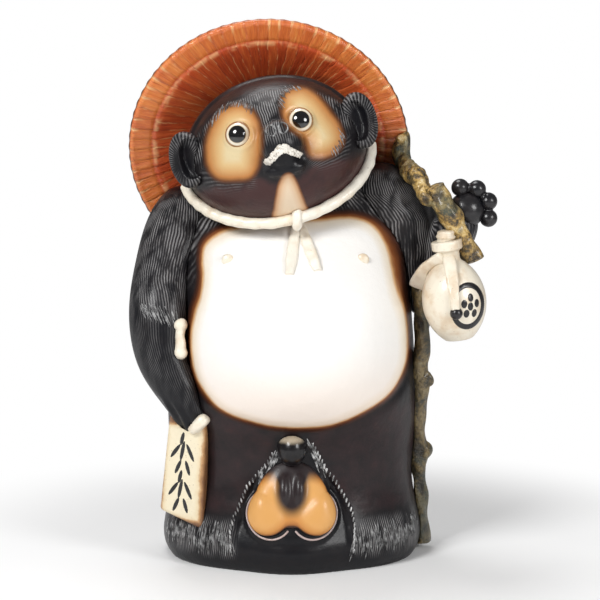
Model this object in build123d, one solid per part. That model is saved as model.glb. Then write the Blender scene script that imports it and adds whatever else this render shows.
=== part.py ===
from build123d import *

import os
from math import atan2, copysign, cos, degrees, exp, pi, radians, sin, sqrt

# A glazed stoneware tanuki, 600 mm tall: a standing raccoon dog with a straw hat tipped back on its head,
# an account book in its right paw, and a flask and a knotty stick in its left.
# The figure is hollow. Its torso is pressed in two half moulds and joined at the sides, its head is a second
# hollow shell set on the neck, and every other piece is shaped by itself and luted on with slip.
# A luted piece is cut to the surface that it sits on, so the two meet face to face.
# Millimetres, +Z up, facing -Y. Right and left are the figure's own, so its right side is at -X.

# Torso shell
WALL = 11.0
SQUARENESS = 2.1
RING_POINTS = 16
SEAM_Y = 0.0
FOOT_HALF_WIDTH = 138.0
FOOT_FRONT = 103.0
FOOT_BACK = 98.0
FOOT_FLARE = 8.0
FOOT_FLARE_HEIGHT = 16.0
ANKLE_HEIGHT = 78.0
ANKLE_HALF_WIDTH = 137.0
ANKLE_FRONT = 104.0
ANKLE_BACK = 102.0
HIP_RISE = 70.0
HIP_HEIGHT = ANKLE_HEIGHT + HIP_RISE
HIP_HALF_WIDTH = 140.0
HIP_FRONT = 108.0
HIP_BACK = 104.0
LAP_RISE = 32.0
LAP_HEIGHT = HIP_HEIGHT + LAP_RISE
LAP_HALF_WIDTH = 140.0
LAP_FRONT = 126.0
LAP_BACK = 100.0
BELLY_RISE = 78.0
BELLY_HEIGHT = LAP_HEIGHT + BELLY_RISE
BELLY_HALF_WIDTH = 136.0
BELLY_FRONT = 150.0
BELLY_BACK = 90.0
BREAST_RISE = 70.0
BREAST_HEIGHT = BELLY_HEIGHT + BREAST_RISE
BREAST_HALF_WIDTH = 129.0
BREAST_FRONT = 125.0
BREAST_BACK = 72.0
CHEST_RISE = 56.0
CHEST_HEIGHT = BREAST_HEIGHT + CHEST_RISE
CHEST_HALF_WIDTH = 117.0
CHEST_FRONT = 70.0
CHEST_BACK = 50.0
SHOULDER_RISE = 40.0
SHOULDER_HEIGHT = CHEST_HEIGHT + SHOULDER_RISE
SHOULDER_HALF_WIDTH = 92.0
SHOULDER_FRONT = 42.0
SHOULDER_BACK = 32.0
NECK_RISE = 22.0
NECK_HEIGHT = SHOULDER_HEIGHT + NECK_RISE
NECK_HALF_WIDTH = 60.0
NECK_FRONT = 46.0
NECK_BACK = 24.0
LOBE_WIDTH = 50.0
LOBE_REACH = 14.0
CROTCH_DEPTH = 7.0

# Head shell: an ellipsoid, tipped back, rolled so that its left side is high, and turned a little
HEAD_LIFT = 11.5
HEAD_CENTRE = (-18.0, -40.0, NECK_HEIGHT + HEAD_LIFT)
HEAD_HALF_WIDTH = 101.0
HEAD_HALF_DEPTH = 100.0
HEAD_HALF_HEIGHT = 83.5
HEAD_WALL = 10.0
HEAD_ROLL = 13.0
HEAD_PITCH = 6.0
HEAD_YAW = 3.0

# Face
EYE_SPREAD = 33.0
EYE_SIDE = -2.5
EYE_RAISE = 24.5
EYE_RADIUS = 15.0
EYE_SINK = 7.0
MUZZLE_RAISE = 5.0
MUZZLE_SIDE = 5.0
MUZZLE_HALF_WIDTH = 25.0
MUZZLE_REACH = 25.0
MUZZLE_HALF_HEIGHT = 23.0
NOSE_RADIUS = 10.0
NOSTRIL_RADIUS = 4.2
NOSTRIL_SPREAD = 6.5
TEETH_HEIGHT = 8.0
TEETH_LENGTH = 25.0
TEETH_SLANT = 34.0
TEETH_PROUD = 2.0
LIP_DROP = 27.0
LIP_HALF_WIDTH = 22.0
LIP_REACH = 9.0
LIP_HALF_HEIGHT = 8.0

# Ears
EAR_HEIGHT = 62.0
EAR_RAISE = 12.0
EAR_WIDTH = 44.0
EAR_THICKNESS = 22.0
EAR_RIM = 9.0
EAR_STAND_OFF = 16.0
EAR_FORWARD = 42.0
EAR_SPLAY = 40.0
EAR_CUP_DEPTH = 10.0
EAR_CUP_INSET = 10.0

# Straw hat, tipped back: a shallow cone with a flatter brim
HAT_RADIUS = 157.0
HAT_DEPTH = 44.0
HAT_BRIM = 30.0
HAT_BRIM_RISE = 5.0
HAT_THICKNESS = 10.0
HAT_EDGE = 4.5
HAT_BAND_BEND = 30.0
HAT_CROWN_BEND = 50.0
HAT_CROWN_RADIUS = 48.0
HAT_TILT = 20.0
HAT_SEAT_DEPTH = 4.0
HAT_SIDE = -8.0
HAT_DROP = 24.0

# Chin cord: a rolled clay strip round the jaw, a loop over it, and two tails
CORD_RADIUS = 6.4
CORD_SINK = 1.5
CORD_TILT = 46.0
CORD_DROP = 20.0
CORD_END_ANGLE = 6.0
KNOT_ANGLE = 87.0
KNOT_HALF_WIDTH = 7.0
KNOT_HALF_HEIGHT = 14.0
CORD_TAIL_LENGTH = 52.0
CORD_TAIL_WIDTH = 13.0
CORD_TAIL_THICKNESS = 8.0
CORD_TAIL_SPLAYS = {"right": 8.0, "left": 22.0}

# Breast studs
NIPPLE_RADIUS = 7.0
NIPPLE_PROUD = 4.0
NIPPLE_SPREAD = 73.0
NIPPLE_HEIGHT = BREAST_HEIGHT + 17.0
NIPPLE_SIDE = 4.0

# Right arm, hanging, with the account book
RIGHT_SHOULDER_RADIUS = 41.0
RIGHT_UPPER_RADIUS = 37.0
RIGHT_ELBOW_RADIUS = 35.0
RIGHT_WRIST_RADIUS = 25.0
RIGHT_PAW_RADIUS = 20.0
RIGHT_ELBOW_HEIGHT = BELLY_HEIGHT + 14.0
RIGHT_ELBOW_FORWARD = 62.0
ARM_STAND_OFF = 8.0
BOOK_WIDTH = 52.0
BOOK_LENGTH = 130.0
BOOK_TAPER = 5.0
BOOK_SLANT = 16.0
BOOK_THICKNESS = 17.0
BOOK_CORNER = 5.0
BOOK_TURN = 16.0
BOOK_LEAN = 6.0
BOOK_ROLL = 4.0
BOOK_INNER_EDGE = -90.0
BOOK_FOOT_HEIGHT = ANKLE_HEIGHT - 36.0
BOOK_SINK = 2.0
BOOK_TIE_RADIUS = 7.5
BOOK_TIE_LENGTH = 24.0
WRIST_TIE_LENGTH = 30.0
WRIST_TIE_RADIUS = 5.5
WRIST_TIE_KNOB_RADIUS = 7.5
WRIST_TIE_HEIGHT = BELLY_HEIGHT
WRIST_TIE_X = -121.0

# Left arm, bent up, with its paw
LEFT_SHOULDER_RADIUS = 43.0
LEFT_UPPER_RADIUS = 42.0
LEFT_ELBOW_RADIUS = 29.0
LEFT_WRIST_RADIUS = 24.0
LEFT_ELBOW_STAND_OFF = 9.0
LEFT_ELBOW_BACK = 6.0
LEFT_ELBOW_HEIGHT = BELLY_HEIGHT + 42.0
PALM_CENTRE = (193.0, -30.0, LEFT_ELBOW_HEIGHT + 92.0)
PALM_RADIUS = 20.0
PALM_HALF_DEPTH = 17.0
FINGER_RADIUS = 10.0
FINGER_SINK = 4.0
FINGER_FIRST_ANGLE = 106.0
FINGER_STEP = 42.0
FINGER_COUNT = 4

# Knotty stick and the branch that the paw grips
STICK_RADIUS = 9.5
STICK_SINK = 3.0
STICK_FOOT = 6.0
STICK_FORWARD = 22.0
STICK_KNOT_RADIUS = 10.0
STICK_KNOT_HEIGHTS = (116.0, 202.0)
BRANCH_RADIUS = 12.0
BRANCH_LENGTH = 94.0
BRANCH_ANGLE = 62.0
BRANCH_SIDE = -15.0
BRANCH_DROP = 12.0
BRANCH_SINK = 3.0
FORK_RADIUS = 8.5
STICK_HEAD_RADIUS = 9.5
STICK_HEAD_HEIGHT = HEAD_CENTRE[2] + 9.0
STICK_HEAD_INSET = 7.0

# Flask, its stopper and its neck ribbons
FLASK_FOOT = (184.0, -66.0, LEFT_ELBOW_HEIGHT - 46.0)
FLASK_LEAN = -8.0
FLASK_RADIUS = 35.0
FLASK_FOOT_RADIUS = 15.0
FLASK_HEIGHT = 88.0
FLASK_BELLY_HEIGHT = 38.0
FLASK_WALL = 6.0
FLASK_NECK_RADIUS = 12.5
FLASK_NECK_HEIGHT = 10.0
FLASK_LIP_RADIUS = 17.0
FLASK_LIP_HEIGHT = 12.0
FLASK_BORE_RADIUS = 7.0
STOPPER_RADIUS = 10.0
STOPPER_HEIGHT = 11.0
STOPPER_PLUG = 9.0
RIBBON_WIDTH = 14.0
RIBBON_THICKNESS = 7.0
RIGHT_RIBBON_WIDTH = 23.0
RIGHT_RIBBON_LENGTH = 46.0
RIGHT_RIBBON_SPLAY = 32.0
LEFT_RIBBON_LENGTH = 58.0
TASSEL_RADIUS = 7.0

# Money bag between the legs, and the knob over it
BAG_LOBE_RADIUS = 25.0
BAG_LOBE_SPREAD = 24.0
BAG_LOBE_HEIGHT = HIP_HEIGHT - 82.0
BAG_LOBE_HALF_HEIGHT = 25.0
BAG_NECK_HALF_WIDTH = 35.0
BAG_NECK_HALF_HEIGHT = 44.0
BAG_NECK_HEIGHT = HIP_HEIGHT - 60.0
BAG_PROUD = 13.0
BAG_PLEAT_HALF_WIDTH = 9.5
BAG_PLEAT_HALF_HEIGHT = 24.0
BAG_PLEAT_SPREAD = 8.5
BAG_PLEAT_HEIGHT = HIP_HEIGHT - 58.0
BAG_PLEAT_PROUD = 18.0
BAG_KNOB_HALF_WIDTH = 16.5
BAG_KNOB_HALF_HEIGHT = 19.0
BAG_KNOB_PROUD = 18.0
BAG_KNOB_HEIGHT = HIP_HEIGHT - 11.0

# Tail on the back
TAIL_HALF_WIDTH = 44.0
TAIL_HALF_HEIGHT = 82.0
TAIL_HALF_DEPTH = 40.0
TAIL_HEIGHT = ANKLE_HEIGHT + 8.0
TAIL_SIDE = 16.0
TAIL_SINK = 12.0
TAIL_ROLL = 14.0

# A limb's round end is two more sections, each at a share of the last radius beyond it
END_SHARES = (0.6, 0.95)

# Farther than any of the figure, and as near as makes two points the same
FAR = 1000.0
SAME_PLACE = 0.01


# Shared shapes


def ellipsoid(half_x, half_y, half_z):
    return scale(Solid.make_sphere(1), by=(half_x, half_y, half_z))


def limb(stations, round_start=True, round_end=True):
    """A smooth limb through round sections, each given as (point, radius), with round or flat ends."""
    points = [Vector(*point) for point, _ in stations]
    rings = []
    for i, (_, radius) in enumerate(stations):
        along = points[min(i + 1, len(points) - 1)] - points[max(i - 1, 0)]
        rings.append((points[i], along.normalized(), radius))
    first, last = rings[0], rings[-1]
    for share in END_SHARES:
        size = sqrt(1 - share**2)
        if round_start:
            point, along, radius = first
            rings.insert(0, (point - along * share * radius, along, size * radius))
        if round_end:
            point, along, radius = last
            rings.append((point + along * share * radius, along, size * radius))
    sections = []
    for point, along, radius in rings:
        plane = Plane(origin=point, x_dir=Vector(0, 1, 0).cross(along), z_dir=along)
        sections.append(plane * Circle(radius).face())
    return loft(sections)


def ball(point, radius):
    """A sphere with its poles to the front and back."""
    return Pos(*point) * Rot(90, 0, 0) * Sphere(radius)


def strip(points, widths, thickness):
    """A flat tapering strip laid down along points of a front surface."""
    spots = [Vector(*point) for point in points]
    sections = []
    for i, width in enumerate(widths):
        along = spots[min(i + 1, len(spots) - 1)] - spots[max(i - 1, 0)]
        plane = Plane(origin=spots[i], x_dir=along.cross(Vector(0, 1, 0)), z_dir=along)
        sections.append(plane * RectangleRounded(width, thickness, 0.4 * min(width, thickness)).face())
    return loft(sections)


def first_hit(solid, origin, direction):
    """Where a straight line from outside first meets a solid's surface."""
    start = Vector(*origin)
    heading = Vector(*direction)
    points = [point for point, _ in solid.find_intersection_points(Axis(start, heading))]
    return min(points, key=lambda point: (point - start).dot(heading))


def front_of(solid, x, z):
    return first_hit(solid, (x, -FAR, z), (0, 1, 0))


def back_of(solid, x, z):
    return first_hit(solid, (x, FAR, z), (0, -1, 0))


def left_of(solid, y, z):
    return first_hit(solid, (FAR, y, z), (-1, 0, 0))


def apart(first, second):
    """Whether two shapes' boxes stay clear of each other."""
    a, b = first.bounding_box(optimal=False), second.bounding_box(optimal=False)
    clear = [low > high for low, high in zip(a.min, b.max)] + [low > high for low, high in zip(b.min, a.max)]
    return any(clear)


def luted(piece, *seats):
    """A piece cut to what it sits on, without the scraps of the cut."""
    for seat in seats:
        if not apart(piece, seat):
            piece = piece - seat
    return max(piece.solids(), key=lambda solid: solid.volume)


def mixed(first, last, share):
    return tuple(a + (b - a) * share for a, b in zip(first, last))


def moved(point, x=0.0, y=0.0, z=0.0):
    return (point[0] + x, point[1] + y, point[2] + z)


# Torso


def torso_ring(z, half_width, front, back, lobe):
    """A level outline of the torso, with the middle of its front pushed out, or drawn in, by lobe."""
    power = 2 / SQUARENESS
    points = []
    for i in range(RING_POINTS):
        angle = 2 * pi * i / RING_POINTS
        across, along = cos(angle), sin(angle)
        x = half_width * copysign(abs(across) ** power, across)
        y = (back if along > 0 else front) * copysign(abs(along) ** power, along)
        if along < 0:
            y -= lobe * exp(-((x / LOBE_WIDTH) ** 2))
        points.append((x, y, z))
    return Face(Wire(Spline(*points, periodic=True)))


def torso_stations():
    """Height, half width, front, back and front lobe of each level outline, from the foot up."""
    flare = FOOT_FLARE
    return [
        (0.0, FOOT_HALF_WIDTH, FOOT_FRONT, FOOT_BACK, LOBE_REACH),
        (FOOT_FLARE_HEIGHT, FOOT_HALF_WIDTH + flare, FOOT_FRONT + flare, FOOT_BACK + flare, LOBE_REACH),
        (ANKLE_HEIGHT, ANKLE_HALF_WIDTH, ANKLE_FRONT, ANKLE_BACK, 0.0),
        (HIP_HEIGHT, HIP_HALF_WIDTH, HIP_FRONT, HIP_BACK, -CROTCH_DEPTH),
        (LAP_HEIGHT, LAP_HALF_WIDTH, LAP_FRONT, LAP_BACK, 0.0),
        (BELLY_HEIGHT, BELLY_HALF_WIDTH, BELLY_FRONT, BELLY_BACK, 0.0),
        (BREAST_HEIGHT, BREAST_HALF_WIDTH, BREAST_FRONT, BREAST_BACK, 0.0),
        (CHEST_HEIGHT, CHEST_HALF_WIDTH, CHEST_FRONT, CHEST_BACK, 0.0),
        (SHOULDER_HEIGHT, SHOULDER_HALF_WIDTH, SHOULDER_FRONT, SHOULDER_BACK, 0.0),
        (NECK_HEIGHT, NECK_HALF_WIDTH, NECK_FRONT, NECK_BACK, 0.0),
    ]


def torso_filled():
    return loft([torso_ring(*station) for station in torso_stations()])


def torso_hollow():
    """The inside of the torso, which runs out through the foot and through the neck."""
    rings = []
    for z, half_width, front, back, lobe in torso_stations():
        inner_z = {0.0: -WALL, NECK_HEIGHT: NECK_HEIGHT + WALL}.get(z, z)
        rings.append(torso_ring(inner_z, half_width - WALL, front - WALL, back - WALL, min(lobe, 0.0)))
    return loft(rings)


def torso_halves(torso):
    """The two press-moulded halves, which meet at the side seams."""
    shell = torso - torso_hollow()
    seam = Plane(origin=(0, SEAM_Y, 0), x_dir=(1, 0, 0), z_dir=(0, -1, 0))
    return split(shell, bisect_by=seam, keep=Keep.TOP), split(shell, bisect_by=seam, keep=Keep.BOTTOM)


def nipple(torso, side):
    seat = front_of(torso, NIPPLE_SIDE + side * NIPPLE_SPREAD, NIPPLE_HEIGHT)
    return Pos(seat) * ellipsoid(NIPPLE_RADIUS, NIPPLE_PROUD, NIPPLE_RADIUS)


def leaning_seat(torso, x, z, reach):
    """A place on the front of the torso that leans as the front does over a reach up and down."""
    low, high = front_of(torso, x, z - reach), front_of(torso, x, z + reach)
    return Pos(front_of(torso, x, z)) * Rot(degrees(atan2(low.Y - high.Y, high.Z - low.Z)), 0, 0)


def money_bag(torso):
    """A hanging bag with two lobes below, a narrower neck above and two pleats down its middle."""
    place = leaning_seat(torso, 0, BAG_NECK_HEIGHT, BAG_NECK_HALF_HEIGHT / 2)
    solid = place * ellipsoid(BAG_NECK_HALF_WIDTH, BAG_PROUD, BAG_NECK_HALF_HEIGHT)
    for side in (-1, 1):
        place = leaning_seat(torso, side * BAG_LOBE_SPREAD, BAG_LOBE_HEIGHT, BAG_LOBE_HALF_HEIGHT / 2)
        solid += place * ellipsoid(BAG_LOBE_RADIUS, BAG_PROUD, BAG_LOBE_HALF_HEIGHT)
        place = leaning_seat(torso, side * BAG_PLEAT_SPREAD, BAG_PLEAT_HEIGHT, BAG_PLEAT_HALF_HEIGHT / 2)
        solid += place * ellipsoid(BAG_PLEAT_HALF_WIDTH, BAG_PLEAT_PROUD, BAG_PLEAT_HALF_HEIGHT)
    return luted(solid, torso)


def bag_knob(torso, bag):
    seat = front_of(torso, 0, BAG_KNOB_HEIGHT)
    return luted(Pos(seat) * ellipsoid(BAG_KNOB_HALF_WIDTH, BAG_KNOB_PROUD, BAG_KNOB_HALF_HEIGHT), torso, bag)


def tail(torso):
    seat = back_of(torso, TAIL_SIDE, TAIL_HEIGHT)
    solid = Rot(0, TAIL_ROLL, 0) * ellipsoid(TAIL_HALF_WIDTH, TAIL_HALF_DEPTH, TAIL_HALF_HEIGHT)
    return luted(Pos(seat) * Pos(0, -TAIL_SINK, 0) * solid, torso)


# Head


def head_place():
    """The head's own frame: x to its left, -y out of its face, z through its crown."""
    return Pos(*HEAD_CENTRE) * Rot(0, -HEAD_ROLL, 0) * Rot(-HEAD_PITCH, 0, 0) * Rot(0, 0, HEAD_YAW)


def head_filled(thinner=0.0):
    halves = (HEAD_HALF_WIDTH, HEAD_HALF_DEPTH, HEAD_HALF_HEIGHT)
    return head_place() * ellipsoid(*(half - thinner for half in halves))


def on_face(x, z, proud=0.0):
    """A place on the front of the head, in the head's own frame."""
    depth = HEAD_HALF_DEPTH * sqrt(1 - (x / HEAD_HALF_WIDTH) ** 2 - (z / HEAD_HALF_HEIGHT) ** 2)
    return head_place() * Pos(x, -depth - proud, z)


def muzzle_filled():
    return on_face(MUZZLE_SIDE, MUZZLE_RAISE) * ellipsoid(MUZZLE_HALF_WIDTH, MUZZLE_REACH, MUZZLE_HALF_HEIGHT)


def nose():
    """A round nose at the upper front of the snout, with two nostrils."""
    nose_y = NOSE_RADIUS / 2 - MUZZLE_REACH
    nose_z = MUZZLE_HALF_HEIGHT / 2
    nostril_y = nose_y - sqrt(NOSE_RADIUS**2 - NOSTRIL_SPREAD**2)
    solid = ball((0, nose_y, nose_z), NOSE_RADIUS)
    for side in (-1, 1):
        solid -= ball((side * NOSTRIL_SPREAD, nostril_y, nose_z), NOSTRIL_RADIUS)
    return on_face(MUZZLE_SIDE, MUZZLE_RAISE) * solid


def upper_teeth():
    """Two slanting rows of teeth that meet under the nose, curved round the front of the snout."""
    halves = (MUZZLE_HALF_WIDTH, MUZZLE_REACH, MUZZLE_HALF_HEIGHT)
    band = ellipsoid(*(half + TEETH_PROUD for half in halves))
    rows = []
    for side in (-1, 1):
        row = Pos(side * TEETH_LENGTH / 2, -MUZZLE_REACH, 0) * Box(TEETH_LENGTH, 2 * MUZZLE_REACH, TEETH_HEIGHT)
        rows.append(Pos(0, 0, -TEETH_HEIGHT / 2) * Rot(0, side * TEETH_SLANT, 0) * row)
    return on_face(MUZZLE_SIDE, MUZZLE_RAISE) * (band & (rows[0] + rows[1]))


def lower_lip():
    lip = ellipsoid(LIP_HALF_WIDTH, LIP_REACH, LIP_HALF_HEIGHT)
    return on_face(MUZZLE_SIDE, MUZZLE_RAISE - LIP_DROP) * lip


def eye(side):
    return on_face(EYE_SIDE + side * EYE_SPREAD, EYE_RAISE, -EYE_SINK) * Sphere(EYE_RADIUS)


def ear(side):
    """A cupped ear at the side of the head, its hollow turned to the front and open to the cheek."""
    solid = extrude(Plane.XZ * Ellipse(EAR_WIDTH / 2, EAR_HEIGHT / 2), EAR_THICKNESS / 2, both=True)
    solid = fillet(solid.edges().filter_by(GeomType.ELLIPSE), 0.45 * EAR_THICKNESS)
    cup = Plane.XZ * Ellipse(EAR_WIDTH / 2 - EAR_RIM, EAR_HEIGHT / 2 - EAR_RIM)
    solid -= Pos(-side * EAR_CUP_INSET, EAR_CUP_DEPTH - EAR_THICKNESS / 2, 0) * extrude(cup, EAR_THICKNESS)
    reach = HEAD_HALF_WIDTH - EAR_WIDTH / 2 + EAR_STAND_OFF
    return head_place() * Pos(side * reach, -EAR_FORWARD, EAR_RAISE) * Rot(0, 0, side * EAR_SPLAY) * solid


# Hat


def head_reach(direction):
    """How far the head reaches from its centre along a direction."""
    place = head_place()
    halves = {(1, 0, 0): HEAD_HALF_WIDTH, (0, 1, 0): HEAD_HALF_DEPTH, (0, 0, 1): HEAD_HALF_HEIGHT}
    reach = 0.0
    for step, half in halves.items():
        axis = (place * Pos(*step)).position - place.position
        reach += (half * axis.dot(direction)) ** 2
    return sqrt(reach)


def straw_hat():
    """Turned about its axis, with the back of the head sunk into its crown by the seat's depth."""
    tip = Vector(0, cos(radians(HAT_TILT)), sin(radians(HAT_TILT)))
    rim = Vector(*HEAD_CENTRE) + tip * (head_reach(tip) - HAT_SEAT_DEPTH - HAT_DEPTH)
    band = HAT_RADIUS - HAT_BRIM
    under = [(0, HAT_DEPTH), (HAT_CROWN_RADIUS, HAT_DEPTH), (band, HAT_BRIM_RISE), (HAT_RADIUS, 0)]
    over = [(x, z + HAT_THICKNESS) for x, z in reversed(under)]
    profile = make_face(Polyline(*under, *over, close=True))
    for radius, rounding in ((HAT_RADIUS, HAT_EDGE), (band, HAT_BAND_BEND), (HAT_CROWN_RADIUS, HAT_CROWN_BEND)):
        corners = [vertex for vertex in profile.vertices() if abs(vertex.X - radius) < SAME_PLACE]
        profile = fillet(corners, rounding)
    turned = revolve(Plane.XZ * profile, Axis.Z)
    return Plane(origin=rim, x_dir=(1, 0, 0), z_dir=tip) * Pos(HAT_SIDE, HAT_DROP, 0) * turned


# Chin cord


def cord_arc():
    """The slanting plane of the chin cord, and its ellipse there: middle, half width and half drop."""
    lift = CORD_RADIUS - CORD_SINK
    half_x, half_y, half_z = HEAD_HALF_WIDTH + lift, HEAD_HALF_DEPTH + lift, HEAD_HALF_HEIGHT + lift
    forward, down = cos(radians(CORD_TILT)), sin(radians(CORD_TILT))
    slope = (forward / half_y) ** 2 + (down / half_z) ** 2
    middle = -CORD_DROP * down / half_z**2 / slope
    spare = 1 - (CORD_DROP / half_z) ** 2 + middle**2 * slope
    centre = (0, -middle * forward, -CORD_DROP - middle * down)
    plane = Plane(origin=centre, x_dir=(1, 0, 0), z_dir=Vector(1, 0, 0).cross(Vector(0, -forward, -down)))
    return plane, half_x * sqrt(spare), sqrt(spare / slope)


def chin_cord(side):
    plane, half_width, half_drop = cord_arc()
    start, end = (CORD_END_ANGLE, KNOT_ANGLE) if side > 0 else (KNOT_ANGLE, 180 - CORD_END_ANGLE)
    path = plane * EllipticalCenterArc((0, 0), half_width, half_drop, start, arc_size=end - start)
    section = Plane(origin=path @ 0, z_dir=path % 0) * Circle(CORD_RADIUS)
    return head_place() * sweep(section, path)


def knot_point():
    plane, half_width, half_drop = cord_arc()
    angle = radians(KNOT_ANGLE)
    spot = plane.from_local_coords(Vector(half_width * cos(angle), half_drop * sin(angle), 0))
    return (head_place() * Pos(spot)).position


def cord_knot():
    return Pos(knot_point()) * ellipsoid(KNOT_HALF_WIDTH, KNOT_HALF_WIDTH + CORD_RADIUS / 2, KNOT_HALF_HEIGHT)


def cord_tail(torso, side):
    """A tail that hangs from the knot and lies on the breast."""
    top = knot_point()
    splay = radians(CORD_TAIL_SPLAYS["left" if side > 0 else "right"])
    spots = []
    for share in (0.0, 0.35, 0.7, 1.0):
        drop = KNOT_HALF_HEIGHT / 2 + share * CORD_TAIL_LENGTH
        spot = front_of(torso, top.X + side * drop * sin(splay), top.Z - drop * cos(splay))
        spots.append(spot - Vector(0, CORD_TAIL_THICKNESS / 4, 0))
    widths = (0.6 * CORD_TAIL_WIDTH, 0.9 * CORD_TAIL_WIDTH, CORD_TAIL_WIDTH, 0.7 * CORD_TAIL_WIDTH)
    return strip(spots, widths, CORD_TAIL_THICKNESS)


# Right arm and book


def book_place(torso):
    """The middle of the book, whose inner back edge leans on the leg."""
    seat = front_of(torso, BOOK_INNER_EDGE, BOOK_FOOT_HEIGHT + BOOK_LENGTH / 2)
    turn = Rot(BOOK_LEAN, 0, 0) * Rot(0, BOOK_ROLL, 0) * Rot(0, 0, -BOOK_TURN)
    return Pos(seat) * turn * Pos(-BOOK_WIDTH / 2, BOOK_SINK - BOOK_THICKNESS / 2, 0)


def account_book(torso):
    """A slab, narrower at the top, with its foot cut aslant."""
    side, top, narrow = BOOK_WIDTH / 2, BOOK_LENGTH / 2, BOOK_WIDTH / 2 - BOOK_TAPER
    corners = [(-side, BOOK_SLANT - top), (side, -top), (narrow, top), (-narrow, top)]
    slab = extrude(Plane.XZ * make_face(Polyline(*corners, close=True)), BOOK_THICKNESS / 2, both=True)
    return book_place(torso) * fillet(slab.edges(), BOOK_CORNER)


def book_tie(torso):
    """A short roll across the book's upper inner corner."""
    half = BOOK_TIE_LENGTH / 2 - BOOK_TIE_RADIUS
    roll = limb([((-half, 0, -half), BOOK_TIE_RADIUS), ((half, 0, half), BOOK_TIE_RADIUS)])
    inner = BOOK_WIDTH / 2 - BOOK_TAPER - BOOK_TIE_RADIUS
    corner = Pos(inner, -BOOK_THICKNESS / 2, BOOK_LENGTH / 2 - BOOK_TIE_RADIUS)
    return book_place(torso) * corner * roll


def right_arm_filled(torso):
    """The hanging arm, from the shoulder round the belly to the paw on top of the book."""
    paw = tuple((book_place(torso) * Pos(0, BOOK_THICKNESS / 4, BOOK_LENGTH / 2)).position)
    shoulder = (-CHEST_HALF_WIDTH, 0, CHEST_HEIGHT - ARM_STAND_OFF)
    elbow = (-BELLY_HALF_WIDTH - ARM_STAND_OFF, -RIGHT_ELBOW_FORWARD, RIGHT_ELBOW_HEIGHT)
    wrist = moved(paw, x=-ARM_STAND_OFF, z=RIGHT_PAW_RADIUS)
    stations = [
        (shoulder, RIGHT_SHOULDER_RADIUS),
        ((-BREAST_HALF_WIDTH - ARM_STAND_OFF, -RIGHT_ELBOW_FORWARD / 2, BREAST_HEIGHT), RIGHT_UPPER_RADIUS),
        (elbow, RIGHT_ELBOW_RADIUS),
        (moved(mixed(elbow, wrist, 0.55), x=-ARM_STAND_OFF), (RIGHT_ELBOW_RADIUS + RIGHT_WRIST_RADIUS) / 2),
        (wrist, RIGHT_WRIST_RADIUS),
        (paw, RIGHT_PAW_RADIUS),
    ]
    return limb(stations)


def wrist_tie(arm):
    """A short rolled tie with a knob at each end, hung on the front of the forearm."""
    ends = []
    for offset in (-WRIST_TIE_LENGTH / 2, WRIST_TIE_LENGTH / 2):
        spot = front_of(arm, WRIST_TIE_X, WRIST_TIE_HEIGHT + offset)
        ends.append((spot.X, spot.Y - WRIST_TIE_RADIUS / 2, spot.Z))
    solid = limb([(end, WRIST_TIE_RADIUS) for end in ends])
    for end in ends:
        solid += ball(end, WRIST_TIE_KNOB_RADIUS)
    return luted(solid, arm)


# Left arm and paw


def left_elbow():
    return (BELLY_HALF_WIDTH + LEFT_ELBOW_STAND_OFF, LEFT_ELBOW_BACK, LEFT_ELBOW_HEIGHT)


def left_arm_filled():
    """The raised arm: down to the elbow, and up again to the wrist behind the palm."""
    elbow = left_elbow()
    shoulder = (CHEST_HALF_WIDTH - 2 * ARM_STAND_OFF, 0, CHEST_HEIGHT + LEFT_SHOULDER_RADIUS / 3)
    wrist = moved(PALM_CENTRE, -PALM_RADIUS / 2, PALM_HALF_DEPTH / 2, -PALM_RADIUS)
    upper = [
        (shoulder, LEFT_SHOULDER_RADIUS),
        ((BREAST_HALF_WIDTH, LEFT_ELBOW_BACK, (BREAST_HEIGHT + CHEST_HEIGHT) / 2), LEFT_UPPER_RADIUS),
        (elbow, LEFT_ELBOW_RADIUS),
    ]
    fore = [
        (elbow, LEFT_ELBOW_RADIUS),
        (mixed(elbow, wrist, 0.5), (LEFT_ELBOW_RADIUS + LEFT_WRIST_RADIUS) / 2),
        (wrist, LEFT_WRIST_RADIUS),
    ]
    return limb(upper) + limb(fore)


def palm():
    return Pos(*PALM_CENTRE) * ellipsoid(PALM_RADIUS, PALM_HALF_DEPTH, PALM_RADIUS)


def fingers():
    """The round fingertips over the outer edge of the palm."""
    reach = PALM_RADIUS + FINGER_RADIUS - FINGER_SINK
    angles = [radians(FINGER_FIRST_ANGLE - i * FINGER_STEP) for i in range(FINGER_COUNT)]
    return [ball(moved(PALM_CENTRE, reach * cos(a), 0, reach * sin(a)), FINGER_RADIUS) for a in angles]


# Stick


def stick_lower(torso):
    """The trunk of the stick, up the left side of the torso and over the front of the elbow."""
    lift = STICK_RADIUS - STICK_SINK
    spots = []
    for z in (STICK_FOOT, *STICK_KNOT_HEIGHTS):
        y = -STICK_FORWARD * (z / max(STICK_KNOT_HEIGHTS)) ** 2
        spots.append((left_of(torso, y, z).X + lift, y, z))
    top = moved(left_elbow(), y=-LEFT_ELBOW_RADIUS - lift, z=LEFT_ELBOW_RADIUS / 4)
    solid = limb([(spot, STICK_RADIUS) for spot in (*spots, top)], round_start=False, round_end=False)
    for spot in spots[1:]:
        solid += ball(moved(spot, x=STICK_RADIUS / 2), STICK_KNOT_RADIUS)
    return solid, top


def branch_ends():
    centre = Vector(*PALM_CENTRE)
    centre += Vector(BRANCH_SIDE, BRANCH_SINK - PALM_HALF_DEPTH - BRANCH_RADIUS, -BRANCH_DROP)
    half = Vector(cos(radians(BRANCH_ANGLE)), 0, -sin(radians(BRANCH_ANGLE))) * (BRANCH_LENGTH / 2)
    return tuple(centre - half), tuple(centre + half)


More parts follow.
